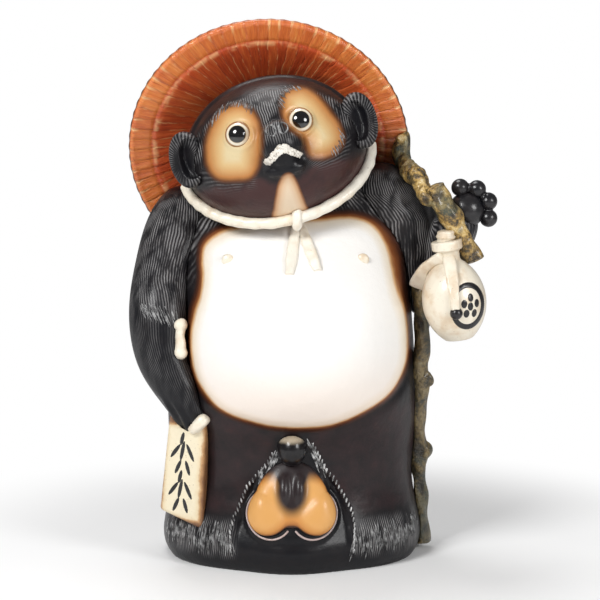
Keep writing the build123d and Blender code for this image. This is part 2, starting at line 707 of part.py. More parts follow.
def held_branch():
    top, low = branch_ends()
    sizes = {0.0: 0.94, 0.3: 1.06, 0.65: 0.96, 1.0: 1.0}
    stations = [(mixed(top, low, share), BRANCH_RADIUS * size) for share, size in sizes.items()]
    return limb(stations, round_start=False, round_end=False)


def stick_fork(trunk_top, flask):
    """The short crooked branch from the top of the trunk to the front of the flask's shoulder."""
    seat = front_of(flask, FLASK_FOOT[0] - FLASK_NECK_RADIUS, FLASK_FOOT[2] + FLASK_HEIGHT - FORK_RADIUS)
    end = moved(tuple(seat), y=-FORK_RADIUS / 2)
    start = moved(trunk_top, z=-STICK_RADIUS)
    bend = moved(mixed(start, end, 0.5), x=-FORK_RADIUS / 2, y=-FORK_RADIUS)
    return limb([(spot, FORK_RADIUS) for spot in (start, bend, end)])


def stick_head(hat):
    """The top of the stick, from the held branch up to the hat's rim, which it leans on."""
    edge = hat.bounding_box().max.X - STICK_HEAD_INSET
    rest = front_of(hat, edge, HEAD_CENTRE[2])
    y = rest.Y + STICK_SINK - STICK_HEAD_RADIUS
    branch_top, _ = branch_ends()
    end = moved(branch_top, x=STICK_SINK - BRANCH_RADIUS, z=-BRANCH_RADIUS)
    stations = [
        ((edge, y, STICK_HEAD_HEIGHT), STICK_HEAD_RADIUS),
        ((edge, y, STICK_HEAD_HEIGHT - 2 * STICK_HEAD_RADIUS), STICK_HEAD_RADIUS),
        (mixed((edge, y, STICK_HEAD_HEIGHT - STICK_HEAD_RADIUS), end, 0.6), STICK_HEAD_RADIUS),
        (end, STICK_HEAD_RADIUS),
    ]
    return limb(stations)


# Flask


def flask_place():
    return Pos(*FLASK_FOOT) * Rot(0, FLASK_LEAN, 0)


def flask_top():
    return FLASK_HEIGHT + FLASK_NECK_HEIGHT + FLASK_LIP_HEIGHT


def flask_filled():
    """A round-bellied flask with a flared lip, hollow, its bore open at the top."""
    shoulder = FLASK_HEIGHT + FLASK_NECK_HEIGHT
    flare = (FLASK_LIP_RADIUS - FLASK_NECK_RADIUS) / 2
    outline = [
        Line((0, 0), (FLASK_FOOT_RADIUS, 0)),
        ThreePointArc((FLASK_FOOT_RADIUS, 0), (FLASK_RADIUS, FLASK_BELLY_HEIGHT), (FLASK_NECK_RADIUS, FLASK_HEIGHT)),
        Polyline(
            (FLASK_NECK_RADIUS, FLASK_HEIGHT),
            (FLASK_NECK_RADIUS, shoulder),
            (FLASK_LIP_RADIUS, shoulder + flare),
            (FLASK_LIP_RADIUS, flask_top()),
            (FLASK_BORE_RADIUS, flask_top()),
            (FLASK_BORE_RADIUS, FLASK_HEIGHT - FLASK_WALL),
        ),
        ThreePointArc(
            (FLASK_BORE_RADIUS, FLASK_HEIGHT - FLASK_WALL),
            (FLASK_RADIUS - FLASK_WALL, FLASK_BELLY_HEIGHT),
            (FLASK_FOOT_RADIUS - FLASK_WALL, FLASK_WALL),
        ),
        Polyline((FLASK_FOOT_RADIUS - FLASK_WALL, FLASK_WALL), (0, FLASK_WALL), (0, 0)),
    ]
    return flask_place() * revolve(Plane.XZ * make_face(outline), Axis.Z)


def flask_stopper():
    """A knob on a plug that fills the mouth of the bore."""
    knob = Pos(0, 0, STOPPER_HEIGHT / 2) * Cylinder(STOPPER_RADIUS, STOPPER_HEIGHT)
    knob = fillet(knob.edges().group_by(Axis.Z)[-1], 0.4 * STOPPER_HEIGHT)
    knob += Pos(0, 0, -STOPPER_PLUG / 2) * Cylinder(FLASK_BORE_RADIUS, STOPPER_PLUG)
    return flask_place() * Pos(0, 0, flask_top()) * knob


def ribbon_start():
    """In front of the flask's neck, under its lip."""
    return tuple((flask_place() * Pos(0, -FLASK_NECK_RADIUS, FLASK_HEIGHT + FLASK_NECK_HEIGHT / 2)).position)


def right_ribbon(trunk_top):
    """The ribbon's loose side, from the neck out to the front of the trunk."""
    start = moved(ribbon_start(), x=-FLASK_NECK_RADIUS / 2)
    reach = RIGHT_RIBBON_LENGTH * sin(radians(RIGHT_RIBBON_SPLAY))
    drop = RIGHT_RIBBON_LENGTH * cos(radians(RIGHT_RIBBON_SPLAY))
    end = (start[0] - reach, trunk_top[1] - STICK_RADIUS, start[2] - drop)
    spots = [start, moved(mixed(start, end, 0.5), x=-RIBBON_THICKNESS / 2), end]
    return strip(spots, (RIBBON_WIDTH, RIGHT_RIBBON_WIDTH, RIGHT_RIBBON_WIDTH), RIBBON_THICKNESS)


def left_ribbon(flask):
    """The ribbon's other side, down the front of the flask's belly."""
    start = ribbon_start()
    spots = [start]
    for share in (0.35, 0.7, 1.0):
        spot = front_of(flask, start[0] + share * RIBBON_WIDTH / 2, start[2] - share * LEFT_RIBBON_LENGTH)
        spots.append(moved(tuple(spot), y=-RIBBON_THICKNESS / 4))
    widths = (RIBBON_WIDTH, RIBBON_WIDTH, 0.8 * RIBBON_WIDTH, 0.6 * RIBBON_WIDTH)
    return strip(spots, widths, RIBBON_THICKNESS), spots[-1]


# Assembly


def figure():
    """Every piece by its name, in the torso's frame."""
    pieces = {}
    torso = torso_filled()
    head = head_filled()
    muzzle = muzzle_filled()
    pieces["body_front"], pieces["body_back"] = torso_halves(torso)
    pieces["tail"] = tail(torso)
    pieces["money_bag"] = money_bag(torso)
    pieces["bag_knob"] = bag_knob(torso, pieces["money_bag"])
    pieces["head_shell"] = luted(head, head_filled(HEAD_WALL), torso)
    pieces["muzzle"] = luted(muzzle, head)
    pieces["nose"] = luted(nose(), muzzle, head)
    pieces["upper_teeth"] = luted(upper_teeth(), head, muzzle)
    pieces["lower_lip"] = luted(lower_lip(), head, muzzle, pieces["upper_teeth"])
    hat = luted(straw_hat(), head, torso)
    pieces["straw_hat"] = hat

    right_arm = luted(right_arm_filled(torso), torso, head, hat)
    left_arm = luted(left_arm_filled(), torso, head, hat)
    pieces["right_arm"] = right_arm
    pieces["left_arm"] = left_arm

    cords = []
    for name, side in (("right", -1), ("left", 1)):
        pieces[name + "_eye"] = luted(eye(side), head)
        pieces[name + "_ear"] = luted(ear(side), head, hat)
        cord = luted(chin_cord(side), head, torso, hat, pieces[name + "_ear"], right_arm, left_arm)
        pieces[name + "_chin_cord"] = cord
        cords.append(cord)
    pieces["cord_knot"] = luted(cord_knot(), head, torso, *cords)
    tails = []
    for name, side in (("right", -1), ("left", 1)):
        hanging = luted(cord_tail(torso, side), torso, head, *cords, pieces["cord_knot"], *tails)
        pieces[name + "_cord_tail"] = hanging
        tails.append(hanging)
        pieces[name + "_nipple"] = luted(nipple(torso, side), torso, *tails)

    pieces["account_book"] = luted(account_book(torso), torso, right_arm)
    pieces["book_tie"] = luted(book_tie(torso), pieces["account_book"], right_arm, torso)
    pieces["wrist_tie"] = wrist_tie(right_arm)

    pieces["left_palm"] = luted(palm(), left_arm)
    hand = [left_arm, pieces["left_palm"]]
    tips = []
    for tip in fingers():
        tips.append(luted(tip, *hand, *tips))
    pieces["left_fingers"] = Compound(tips)
    trunk, trunk_top = stick_lower(torso)
    pieces["stick_trunk"] = luted(trunk, torso, left_arm)
    pieces["held_branch"] = luted(held_branch(), *hand, *tips)
    pieces["stick_head"] = luted(stick_head(hat), hat, torso, *hand, pieces["held_branch"])

    flask = luted(flask_filled(), torso, *hand, pieces["stick_trunk"], pieces["held_branch"])
    pieces["flask"] = flask
    fork = stick_fork(trunk_top, flask_filled())
    pieces["stick_fork"] = luted(fork, pieces["stick_trunk"], flask, *hand)
    stick = [pieces[name] for name in ("stick_trunk", "stick_fork", "held_branch")]
    pieces["flask_stopper"] = luted(flask_stopper(), flask, *hand, *stick)
    on_flask = [flask, pieces["flask_stopper"], *stick, left_arm]
    pieces["right_ribbon"] = luted(right_ribbon(trunk_top), *on_flask)
    hanging, ribbon_end = left_ribbon(flask_filled())
    pieces["left_ribbon"] = luted(hanging, *on_flask, pieces["right_ribbon"])
    tassel = ball(ribbon_end, TASSEL_RADIUS)
    pieces["ribbon_tassel"] = luted(tassel, *on_flask, pieces["left_ribbon"])
    return pieces


def main():
    """Moves the figure so that its origin is the middle of its footprint, and writes each piece."""
    pieces = figure()
    box = Compound(list(pieces.values())).bounding_box()
    place = Pos(-(box.min.X + box.max.X) / 2, -(box.min.Y + box.max.Y) / 2, -box.min.Z)
    os.makedirs("parts", exist_ok=True)
    for name, piece in pieces.items():
        export_step(place * piece, f"parts/{name}.step")


main()
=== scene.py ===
import math
import random

import bmesh
import bpy
import numpy as np
from mathutils import Matrix, Vector
from mathutils.bvhtree import BVHTree


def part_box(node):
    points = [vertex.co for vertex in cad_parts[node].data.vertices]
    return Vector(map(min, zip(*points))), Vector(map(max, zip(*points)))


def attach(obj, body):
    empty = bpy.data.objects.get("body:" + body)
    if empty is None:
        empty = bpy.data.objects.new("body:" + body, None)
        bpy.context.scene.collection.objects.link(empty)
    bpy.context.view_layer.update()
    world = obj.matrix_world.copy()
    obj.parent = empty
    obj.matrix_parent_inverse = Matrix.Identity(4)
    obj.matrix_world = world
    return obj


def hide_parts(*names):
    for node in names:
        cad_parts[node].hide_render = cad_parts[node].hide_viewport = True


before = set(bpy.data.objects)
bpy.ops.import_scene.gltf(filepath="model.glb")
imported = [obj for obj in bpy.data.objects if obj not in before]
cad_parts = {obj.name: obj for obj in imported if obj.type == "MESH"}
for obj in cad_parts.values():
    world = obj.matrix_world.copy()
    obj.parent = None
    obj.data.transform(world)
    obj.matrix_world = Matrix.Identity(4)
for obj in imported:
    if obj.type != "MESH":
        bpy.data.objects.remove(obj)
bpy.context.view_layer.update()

# A glazed stoneware tanuki. Metres, +Z up, facing -Y. Right and left are the figure's own.
# Each piece is a copy of its solids, remeshed like clay, sculpted and glazed.
# Sizes in the sculpting are millimetres, and MM turns them into metres.

MM = 0.001
WELD = 0.02 * MM
FULL_TURN = 2 * math.pi
RNG = random.Random(11)


def placed(place, *turns):
    """A frame at a place, turned by some degrees about each axis given, one after another."""
    matrix = Matrix.Translation(place)
    for degrees, axis in turns:
        matrix = matrix @ Matrix.Rotation(math.radians(degrees), 4, axis)
    return matrix


# The torso's upright axis, in the plane of its side seams
SEAM_Y = 0.0189
FRONT_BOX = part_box("body_front")
AXIS = Vector(((FRONT_BOX[0].x + FRONT_BOX[1].x) / 2, SEAM_Y, 0))
UPRIGHT = Matrix.Translation(AXIS)

# Head: its centre from the torso's axis, its half sizes, and how it is tipped
HEAD_CENTRE = AXIS + Vector((-18, -40, 457.5)) * MM
HEAD_HALVES = (101.0, 100.0, 83.5)
HEAD = placed(HEAD_CENTRE, (-13, "Y"), (-6, "X"), (3, "Z"))
SNOUT_X = 5
EYES = {"right": (-35.5, 24.5), "left": (30.5, 24.5)}
EYE_RADIUS = 15.0
EYE_SINK = 7.0
EYE_SQUINT = 260
EYELID_RADIUS = 15.5
PUPIL_RADIUS = 9.6
EYE_RAMP = 20

# Hat: its rim, and its frame with z out through the crown; the rest as shares of the radius
HAT_RADIUS = 157.0
HAT_TILT = 20.0
HAT_LOW, HAT_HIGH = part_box("straw_hat")
HAT = placed((
    (HAT_LOW.x + HAT_HIGH.x) / 2,
    HAT_LOW.y + HAT_RADIUS * MM * math.sin(math.radians(HAT_TILT)),
    (HAT_LOW.z + HAT_HIGH.z) / 2,
), (HAT_TILT - 90, "X"))
HAT_STAVES = 72
HAT_STEP = 0.835
HAT_LIP = 0.975

# Book: its middle, and its lean, roll and turn
BOOK_LOW, BOOK_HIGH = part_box("account_book")
BOOK = placed((BOOK_LOW + BOOK_HIGH) / 2, (6, "X"), (4, "Y"), (-16, "Z"))
BOOK_HALF_WIDTH = 20.0
BOOK_HALF_HEIGHT = 52.0

# Outlines of the painted fields, in millimetres across and up from the torso's axis
BELLY = [
    (-97, 355), (-89, 365), (-74, 374), (-58, 378), (-26, 385), (27, 386), (50, 388), (71, 387), (86, 381),
    (98, 369), (106, 353), (110, 336), (116, 310), (125, 284), (128, 258), (127, 232), (118, 211), (104, 195),
    (83, 183), (57, 171), (27, 164), (-14, 165), (-46, 172), (-74, 182), (-92, 198), (-104, 217), (-109, 238),
    (-110, 263), (-106, 287), (-100, 306), (-97, 325), (-98, 342),
]
LEG_EDGES = {
    "right": [(-20, 130), (-25, 120), (-36, 108), (-48, 94), (-56, 75), (-63, 59), (-67, 47), (-66, 24)],
    "left": [(22, 142), (28, 131), (37, 112), (47, 100), (57, 83), (65, 67), (68, 51), (67, 24)],
}
FOOT_FUR = {"right": (-136, -71), "left": (70, 137)}
# Ovals that make up the bag and the knob above it: middle across and up, half width, half height
BAG_OVALS = [(-24, 66, 25, 25), (24, 66, 25, 25), (0, 88, 35, 44), (0, 137, 16.5, 19)]
# The same from the head's centre, in the head's frame
RIGHT_PATCH = [
    (-28, 56), (-18, 49), (-13, 34), (-14, 18), (-18, 2), (-25, -14), (-36, -22), (-53, -20), (-67, -15),
    (-74, -4), (-74, 12), (-70, 27), (-62, 40), (-52, 51), (-42, 56),
]
LEFT_PATCH = [
    (22, 57), (32, 60), (43, 59), (53, 51), (60, 39), (66, 25), (71, 12), (72, -2), (66, -12), (54, -18),
    (41, -18), (33, -13), (32, -2), (30, 6), (21, 15), (16, 24), (15, 36), (17, 48),
]
THROAT = [
    (-1, -29), (6, -27), (11, -31), (14, -42), (16, -54), (18, -65), (20, -73), (12, -78), (-19, -73),
    (-16, -59), (-11, -46), (-7, -37),
]
MOUTH = [(-12, -11), (-2, -5), (4, -3), (10, -5), (22, -9), (25, -13), (17, -16), (5, -16), (-5, -14)]
NOSTRILS = [(-2.5, 20.5), (11.0, 20.5)]
# A painted field is 0.5 on its outline and reaches 0 or 1 half of this far from it
BELLY_BLEND = 60
PATCH_BLEND = 44
THROAT_BLEND = 22
# Spots on the belly's edge and on the hat: middle across and up from the torso's axis, half width
AMBER_SPOT = (112, 335, 22)
SOOT_SPOT = (112, 436, 40)
# Fans that the comb follows on the chest and the chin: middle across and up, distance from it
CHEST_FAN = (-10, 500, 95)
CHIN_FAN = (3, -34, 46)
TORSO_GIRTH = 128
ARM_GIRTH = 34
SLEEVE_HEM = [(-164, 292), (-122, 278)]

# Locks of hair and brush strokes: half width and height
SHORT_LOCK = (1.0, 1.6)
LONG_LOCK = (0.6, 0.9)
FINE_LOCK = (0.5, 0.7)
FACE_LOCK = (0.4, 0.5)
STROKE_HEIGHT = 0.5
COMB_PITCH = 2.5

# Leaves of one sprig on the book: across and up, the way it points in degrees, half length
LEAVES = [
    (-9, 9, 238, 10), (-1, 10, 262, 12), (8, 9, 296, 11), (-5, -9, 250, 9), (6, -9, 288, 9), (-2, 24, 80, 8),
]
LEAF_HALF_WIDTH = 2.2
SPRIGS_UP = (15, -29)


# Small sums


def ease(values, low, high):
    """0 below low, 1 above high, and smooth between."""
    share = np.clip((values - low) / (high - low), 0, 1)
    return share * share * (3 - 2 * share)


def fade(values, low, high):
    """1 below low, 0 above high, and smooth between."""
    return ease(-values, -high, -low)


def hill(values, width):
    """1 at zero, falling off on both sides."""
    return np.exp(-((values / width) ** 2))


def closed_curve(points, steps=8):
    """A smooth closed outline through a few points."""
    here = np.array(points, float)
    before, after, last = np.roll(here, 1, 0), np.roll(here, -1, 0), np.roll(here, -2, 0)
    rows = []
    for t in np.arange(steps) / steps:
        slope = (after - before) * t
        bend = (2 * before - 5 * here + 4 * after - last) * t**2
        twist = (3 * here - before - 3 * after + last) * t**3
        rows.append(here + (slope + bend + twist) / 2)
    return np.stack(rows, 1).reshape(-1, 2)


def depth_inside(across, up, points):
    """How far each place lies inside a closed outline; negative outside."""
    places = np.stack([across, up], 1)
    outline = closed_curve(points)
    nearest = np.full(len(places), np.inf)
    inside = np.zeros(len(places), bool)
    for a, b in zip(outline, np.roll(outline, -1, 0)):
        side = b - a
        share = np.clip(((places - a) @ side) / (side @ side), 0, 1)
        nearest = np.minimum(nearest, np.linalg.norm(places - a - share[:, None] * side, axis=1))
        crosses = (a[1] > places[:, 1]) != (b[1] > places[:, 1])
        reach = side[0] * (places[:, 1] - a[1]) / (side[1] or 1e-9) + a[0]
        inside ^= crosses & (places[:, 0] < reach)
    return np.where(inside, nearest, -nearest)


def along_line(points, share):
    """The place at a share of the way along a line of points."""
    knots = np.array(points, float)
    lengths = np.concatenate([[0], np.cumsum(np.linalg.norm(np.diff(knots, axis=0), axis=1))])
    return [float(np.interp(share * lengths[-1], lengths, knots[:, i])) for i in range(knots.shape[1])]


def spot(x, z, across, up, width, tall=1):
    """A soft round spot, 1 in its middle."""
    return hill(np.hypot(x - across, (z - up) / tall), width)


def fan(x, z, across, up, reach):
    """How far round a middle above it each place is, measured at a distance from that middle."""
    return np.arctan2(x - across, up - z) * reach


def lumps(places, size, seed):
    """A soft uneven field between about -1 and 1, from a few slanting waves; sizes in millimetres."""
    waves, usual_peak = 6, 3.5
    rng = np.random.default_rng(seed)
    total = np.zeros(len(places))
    for _ in range(waves):
        wave = rng.normal(size=3)
        wave *= rng.uniform(0.6, 1.5) / np.linalg.norm(wave)
        total += np.sin(places @ wave * (FULL_TURN / (size * MM)) + rng.uniform(0, FULL_TURN))
    return total / usual_peak


# Clay


def new_piece(name, shape):
    mesh = bpy.data.meshes.new(name)
    shape.to_mesh(mesh)
    shape.free()
    piece = bpy.data.objects.new(name, mesh)
    bpy.context.scene.collection.objects.link(piece)
    return piece


def remesh(piece, voxel, rounds):
    """Fuses a piece into one skin of even faces and smooths it as by a wet sponge."""
    skin = piece.modifiers.new("skin", "REMESH")
    skin.mode = "VOXEL"
    skin.voxel_size = voxel * MM
    sponge = piece.modifiers.new("sponge", "SMOOTH")
    sponge.factor = 0.5
    sponge.iterations = rounds
    mesh = bpy.data.meshes.new_from_object(piece.evaluated_get(bpy.context.evaluated_depsgraph_get()))
    piece.modifiers.clear()
    piece.data, old = mesh, piece.data
    bpy.data.meshes.remove(old)
    return piece


def clay(name, voxel, rounds, *nodes):
    """A copy of some solids as one piece of clay, with faces one voxel wide, in millimetres."""
    shape = bmesh.new()
    for node in nodes:
        shape.from_mesh(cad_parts[node].data)
    bmesh.ops.remove_doubles(shape, verts=shape.verts, dist=WELD)
    return remesh(new_piece(name, shape), voxel, rounds)


def thin_roll(name, spots, radius, voxel, rounds):
    """A thin roll of clay through some spots."""
    shape = bmesh.new()
    for place in spots:
        bmesh.ops.create_icosphere(shape, subdivisions=2, radius=radius * MM, matrix=Matrix.Translation(place))
    return remesh(new_piece(name, shape), voxel, rounds)


def seat(piece, slot, finish, *nodes):
    """Puts a piece on the figure, in place of its solids if it has some, with its finish."""
    piece.data.materials.clear()
    piece.data.materials.append(finish)
    piece.data.shade_smooth()
    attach(piece, "root")
    if nodes:
        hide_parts(*nodes)
    return piece


def places_of(piece):
    places = np.empty(3 * len(piece.data.vertices))
    piece.data.vertices.foreach_get("co", places)
    return places.reshape(-1, 3)


def push(piece, heights):
    """Moves each point along its normal, by millimetres, but not below the floor."""
    normals = np.empty(3 * len(piece.data.vertices))
    piece.data.vertex_normals.foreach_get("vector", normals)
    places = places_of(piece) + normals.reshape(-1, 3) * heights[:, None] * MM
    places[:, 2] = np.maximum(places[:, 2], 0)
    piece.data.vertices.foreach_set("co", places.ravel())
    piece.data.update()


def paint(piece, **fields):
    """Keeps numbers for each point, which the glaze reads."""
    for name, values in fields.items():
        layer = piece.data.attributes.new(name, "FLOAT", "POINT")
        values = np.broadcast_to(np.asarray(values, np.float32), len(piece.data.vertices))
        layer.data.foreach_set("value", np.ascontiguousarray(values))


def paint_figure(piece, fur, comb, brown, belly=0, patch=0, throat=0):
    """Paints all that the figure's glaze reads."""
    paint(piece, fur=fur, comb=comb, brown=brown, belly=belly, patch=patch, throat=throat)


def in_frame(piece, matrix):
    """The piece's points in another frame, in millimetres, as three rows."""
    turn = np.array(matrix.inverted())
    return (places_of(piece) @ turn[:3, :3].T + turn[:3, 3:].T).T / MM


def soften(piece, chosen, rounds):
    """Smooths some of the points, as a finger does over a joint."""
    shape = bmesh.new()
    shape.from_mesh(piece.data)
    shape.verts.ensure_lookup_table()
    verts = [shape.verts[i] for i in np.flatnonzero(chosen)]
    for _ in range(rounds):
        bmesh.ops.smooth_vert(
            shape, verts=verts, factor=0.5, use_axis_x=True, use_axis_y=True, use_axis_z=True)
    shape.to_mesh(piece.data)
    shape.free()
    piece.data.update()


def tree_of(piece):
    shape = bmesh.new()
    shape.from_mesh(piece.data)
    tree = BVHTree.FromBMesh(shape)
    shape.free()
    return tree


def distance_to(piece, other):
    """How far each point of a piece is from another, in millimetres."""
    tree = tree_of(other)
    return np.array([tree.find_nearest(Vector(place))[3] for place in places_of(piece)]) / MM


def front_hit(tree, matrix, across, up):
    """Where the front of a piece is, straight ahead of a place in a frame; with its normal."""
    well_ahead = -400
    start = matrix @ (Vector((across, well_ahead, up)) * MM)
    hit, normal, _, _ = tree.ray_cast(start, matrix.to_3x3() @ Vector((0, 1, 0)))
    return hit, normal


def lock(shape, place, normal, lie, length, width, height):
    """Adds a raised lock of hair, or a brush stroke, lying along a surface; half sizes in millimetres."""
    if place is None:
        return
    lie = (lie - normal * lie.dot(normal)).normalized()
    turn = Matrix((lie, normal.cross(lie), normal)).transposed().to_4x4()
    size = Matrix.Diagonal((length * MM, width * MM, height * MM, 1))
    bmesh.ops.create_icosphere(shape, subdivisions=2, radius=1, matrix=Matrix.Translation(place) @ turn @ size)


# Glazes


class Wire:
    """A shader value; sums on it add Math nodes to its finish."""

    def __init__(self, finish, socket):
        self.finish = finish
        self.socket = socket

    def __add__(self, other):
        return self.finish.math("ADD", self, other)

    __radd__ = __add__

    def __sub__(self, other):
        return self.finish.math("SUBTRACT", self, other)

    def __rsub__(self, other):
        return self.finish.math("SUBTRACT", other, self)

    def __mul__(self, other):
        return self.finish.math("MULTIPLY", self, other)

    __rmul__ = __mul__

    def __truediv__(self, other):
        return self.finish.math("DIVIDE", self, other)

    def __pow__(self, other):
        return self.finish.math("POWER", self, other)

    def between(self, low, high):
        """0 below low, 1 above high, and smooth between."""
        made = self.finish.node("ShaderNodeMapRange", {"interpolation_type": "SMOOTHSTEP"},
                                {"Value": self, "From Min": low, "From Max": high})
        return Wire(self.finish, made.outputs["Result"])

    def wave(self):
        """A sine from 0 to 1."""
        return self.finish.math("SINE", self) * 0.5 + 0.5

    def swing(self, amount):
        """A noise moved to lie evenly round zero, and scaled."""
        return (self - 0.5) * amount


class Finish:
    """A material being built."""

    def __init__(self, name):
        self.material = bpy.data.materials.new(name)
        self.material.use_nodes = True
        self.tree = self.material.node_tree
        self.tree.nodes.clear()
        self.place = self.node("ShaderNodeTexCoord").outputs["Object"]

    def node(self, kind, settings=None, sockets=None):
        made = self.tree.nodes.new(kind)
        for key, value in (settings or {}).items():
            setattr(made, key, value)
        for key, value in (sockets or {}).items():
            socket = made.inputs[key]
            if isinstance(value, Wire):
                self.tree.links.new(value.socket, socket)
            elif isinstance(value, bpy.types.NodeSocket):
                self.tree.links.new(value, socket)
            elif socket.type == "RGBA":
                socket.default_value = (*value, 1)
            else:
                socket.default_value = value
        return made

    def math(self, operation, *values):
        made = self.node("ShaderNodeMath", {"operation": operation}, dict(enumerate(values)))
        return Wire(self, made.outputs[0])

    def painted(self, name):
        return Wire(self, self.node("ShaderNodeAttribute", {"attribute_name": name}).outputs["Fac"])

    def noise(self, scale, detail=3.0, rough=0.55, where=None):
        """Cloudy noise round a half; the scale is in lumps to the metre."""
        sockets = {"Vector": where or self.place, "Scale": scale, "Detail": detail, "Roughness": rough}
        return Wire(self, self.node("ShaderNodeTexNoise", None, sockets).outputs[0])

    def specks(self, scale):
        made = self.node("ShaderNodeTexVoronoi", None, {"Vector": self.place, "Scale": scale})
        return Wire(self, made.outputs["Distance"])

    def chance(self, value):
        """A random number for each whole number."""
        made = self.node("ShaderNodeTexWhiteNoise", {"noise_dimensions": "1D"}, {"W": value})
        return Wire(self, made.outputs["Value"])

    def ramp(self, value, stops):
        made = self.node("ShaderNodeValToRGB", None, {"Fac": value})
        while len(made.color_ramp.elements) < len(stops):
            made.color_ramp.elements.new(1)
        for element, (position, colour) in zip(made.color_ramp.elements, stops):
            element.position = position
            element.color = (*colour, 1)
        return made.outputs["Color"]

    def mix(self, share, first, second):
        made = self.node("ShaderNodeMix", {"data_type": "RGBA"}, {0: share, 6: first, 7: second})
        return made.outputs[2]

    def axes(self, matrix=None):
        """The surface's place, in another frame if one is given."""
        where = self.place
        if matrix:
            back = matrix.inverted()
            where = self.node("ShaderNodeMapping", None, {
                "Vector": where, "Location": back.translation, "Rotation": back.to_euler()}).outputs[0]
        return [Wire(self, output) for output in self.node("ShaderNodeSeparateXYZ", None, {0: where}).outputs]

    def point(self, *values):
        return self.node("ShaderNodeCombineXYZ", None, dict(enumerate(values))).outputs[0]

    def glaze(self, colour, rough, height, coat=0.3, coat_rough=0.10, shine=0.5):
        """Ends the finish as a glassy glaze, with a relief in metres."""
        normal = self.node("ShaderNodeBump", None, {"Distance": 1.0, "Height": height}).outputs[0]
        shader = self.node("ShaderNodeBsdfPrincipled", None, {
            "Base Color": colour, "Roughness": rough, "Specular IOR Level": shine, "Coat Weight": coat,
            "Coat Roughness": coat_rough, "Normal": normal})
        self.node("ShaderNodeOutputMaterial", None, {"Surface": shader.outputs[0]})
        return self.material


BLACK = (0.006, 0.006, 0.008)
# Silver for the combed ridges: partly glaze worn thin, partly a painted highlight
SILVER = (0.31, 0.30, 0.30)
WHITE = (0.88, 0.86, 0.83)
# Darker, pinker tone for the bottom of the belly
LOWER_BELLY_TONE = (0.84, 0.68, 0.56)
SPECK = (0.17, 0.11, 0.05)
BOOK_SPECK = (0.17, 0.10, 0.04)
PALE_STRAW = (0.86, 0.50, 0.22)
BURNT_STRAW = (0.05, 0.020, 0.012)
SOOT = (0.016, 0.010, 0.010)
MOSS = (0.055, 0.078, 0.056)
DARK_BARK = (0.046, 0.048, 0.034)
BARK_HOLLOW = (0.014, 0.012, 0.010)
PLEAT = (0.020, 0.013, 0.014)
KNOB_BLACK = (0.006, 0.005, 0.006)
# Pale cream painted highlight on the top of the bag's knob
KNOB_HIGHLIGHT = (0.50, 0.42, 0.31)
PUPIL = (0.003, 0.003, 0.004)
HAIR_ROOT = (0.022, 0.020, 0.021)

# Ramps: the place of each stop from 0 to 1, and its colour
BROWNS = [
    (0.0, BLACK), (0.40, (0.011, 0.009, 0.010)), (0.70, (0.024, 0.014, 0.015)), (1.0, (0.050, 0.020, 0.019)),
]
BLACKS = [(0.3, (0.007, 0.007, 0.009)), (0.8, (0.024, 0.021, 0.022))]
BELLY_COLOURS = [
    (0.36, (0.020, 0.010, 0.008)), (0.44, (0.075, 0.024, 0.012)), (0.485, (0.26, 0.085, 0.026)),
    (0.515, (0.66, 0.38, 0.17)), (0.56, (0.84, 0.74, 0.60)), (0.72, WHITE),
]
PATCH_COLOURS = [
    (0.36, (0.020, 0.010, 0.007)), (0.47, (0.13, 0.044, 0.014)), (0.56, (0.44, 0.185, 0.055)),
    (0.70, (0.57, 0.325, 0.130)), (0.86, (0.64, 0.45, 0.220)), (1.0, (0.66, 0.54, 0.32)),
]
THROAT_COLOURS = [
    (0.40, (0.03, 0.013, 0.010)), (0.50, (0.22, 0.085, 0.032)), (0.60, (0.56, 0.32, 0.17)),
    (0.75, (0.68, 0.48, 0.31)), (1.0, (0.74, 0.59, 0.43)),
]
BOOK_COLOURS = [
    (0.0, (0.80, 0.71, 0.52)), (0.45, (0.76, 0.62, 0.40)), (0.75, (0.50, 0.27, 0.11)), (1.0, (0.19, 0.085, 0.035)),
]
STRAW_COLOURS = [
    (0.28, (0.32, 0.034, 0.010)), (0.46, (0.54, 0.074, 0.018)), (0.62, (0.66, 0.130, 0.030)),
    (0.80, (0.80, 0.29, 0.085)),
]
RIM_COLOURS = [
    (0.28, (0.46, 0.082, 0.016)), (0.46, (0.62, 0.145, 0.029)), (0.62, (0.73, 0.23, 0.050)),
    (0.80, (0.86, 0.45, 0.18)),
]
BARK_COLOURS = [
    (0.37, (0.012, 0.010, 0.008)), (0.44, (0.085, 0.058, 0.022)), (0.49, (0.30, 0.185, 0.052)),
    (0.55, (0.56, 0.37, 0.115)), (0.65, (0.76, 0.64, 0.38)),
]
ORANGES = [
    (0.0, (0.028, 0.014, 0.011)), (0.26, (0.050, 0.020, 0.012)), (0.40, (0.40, 0.150, 0.036)),
    (0.62, (0.60, 0.260, 0.064)), (1.0, (0.68, 0.35, 0.110)),
]


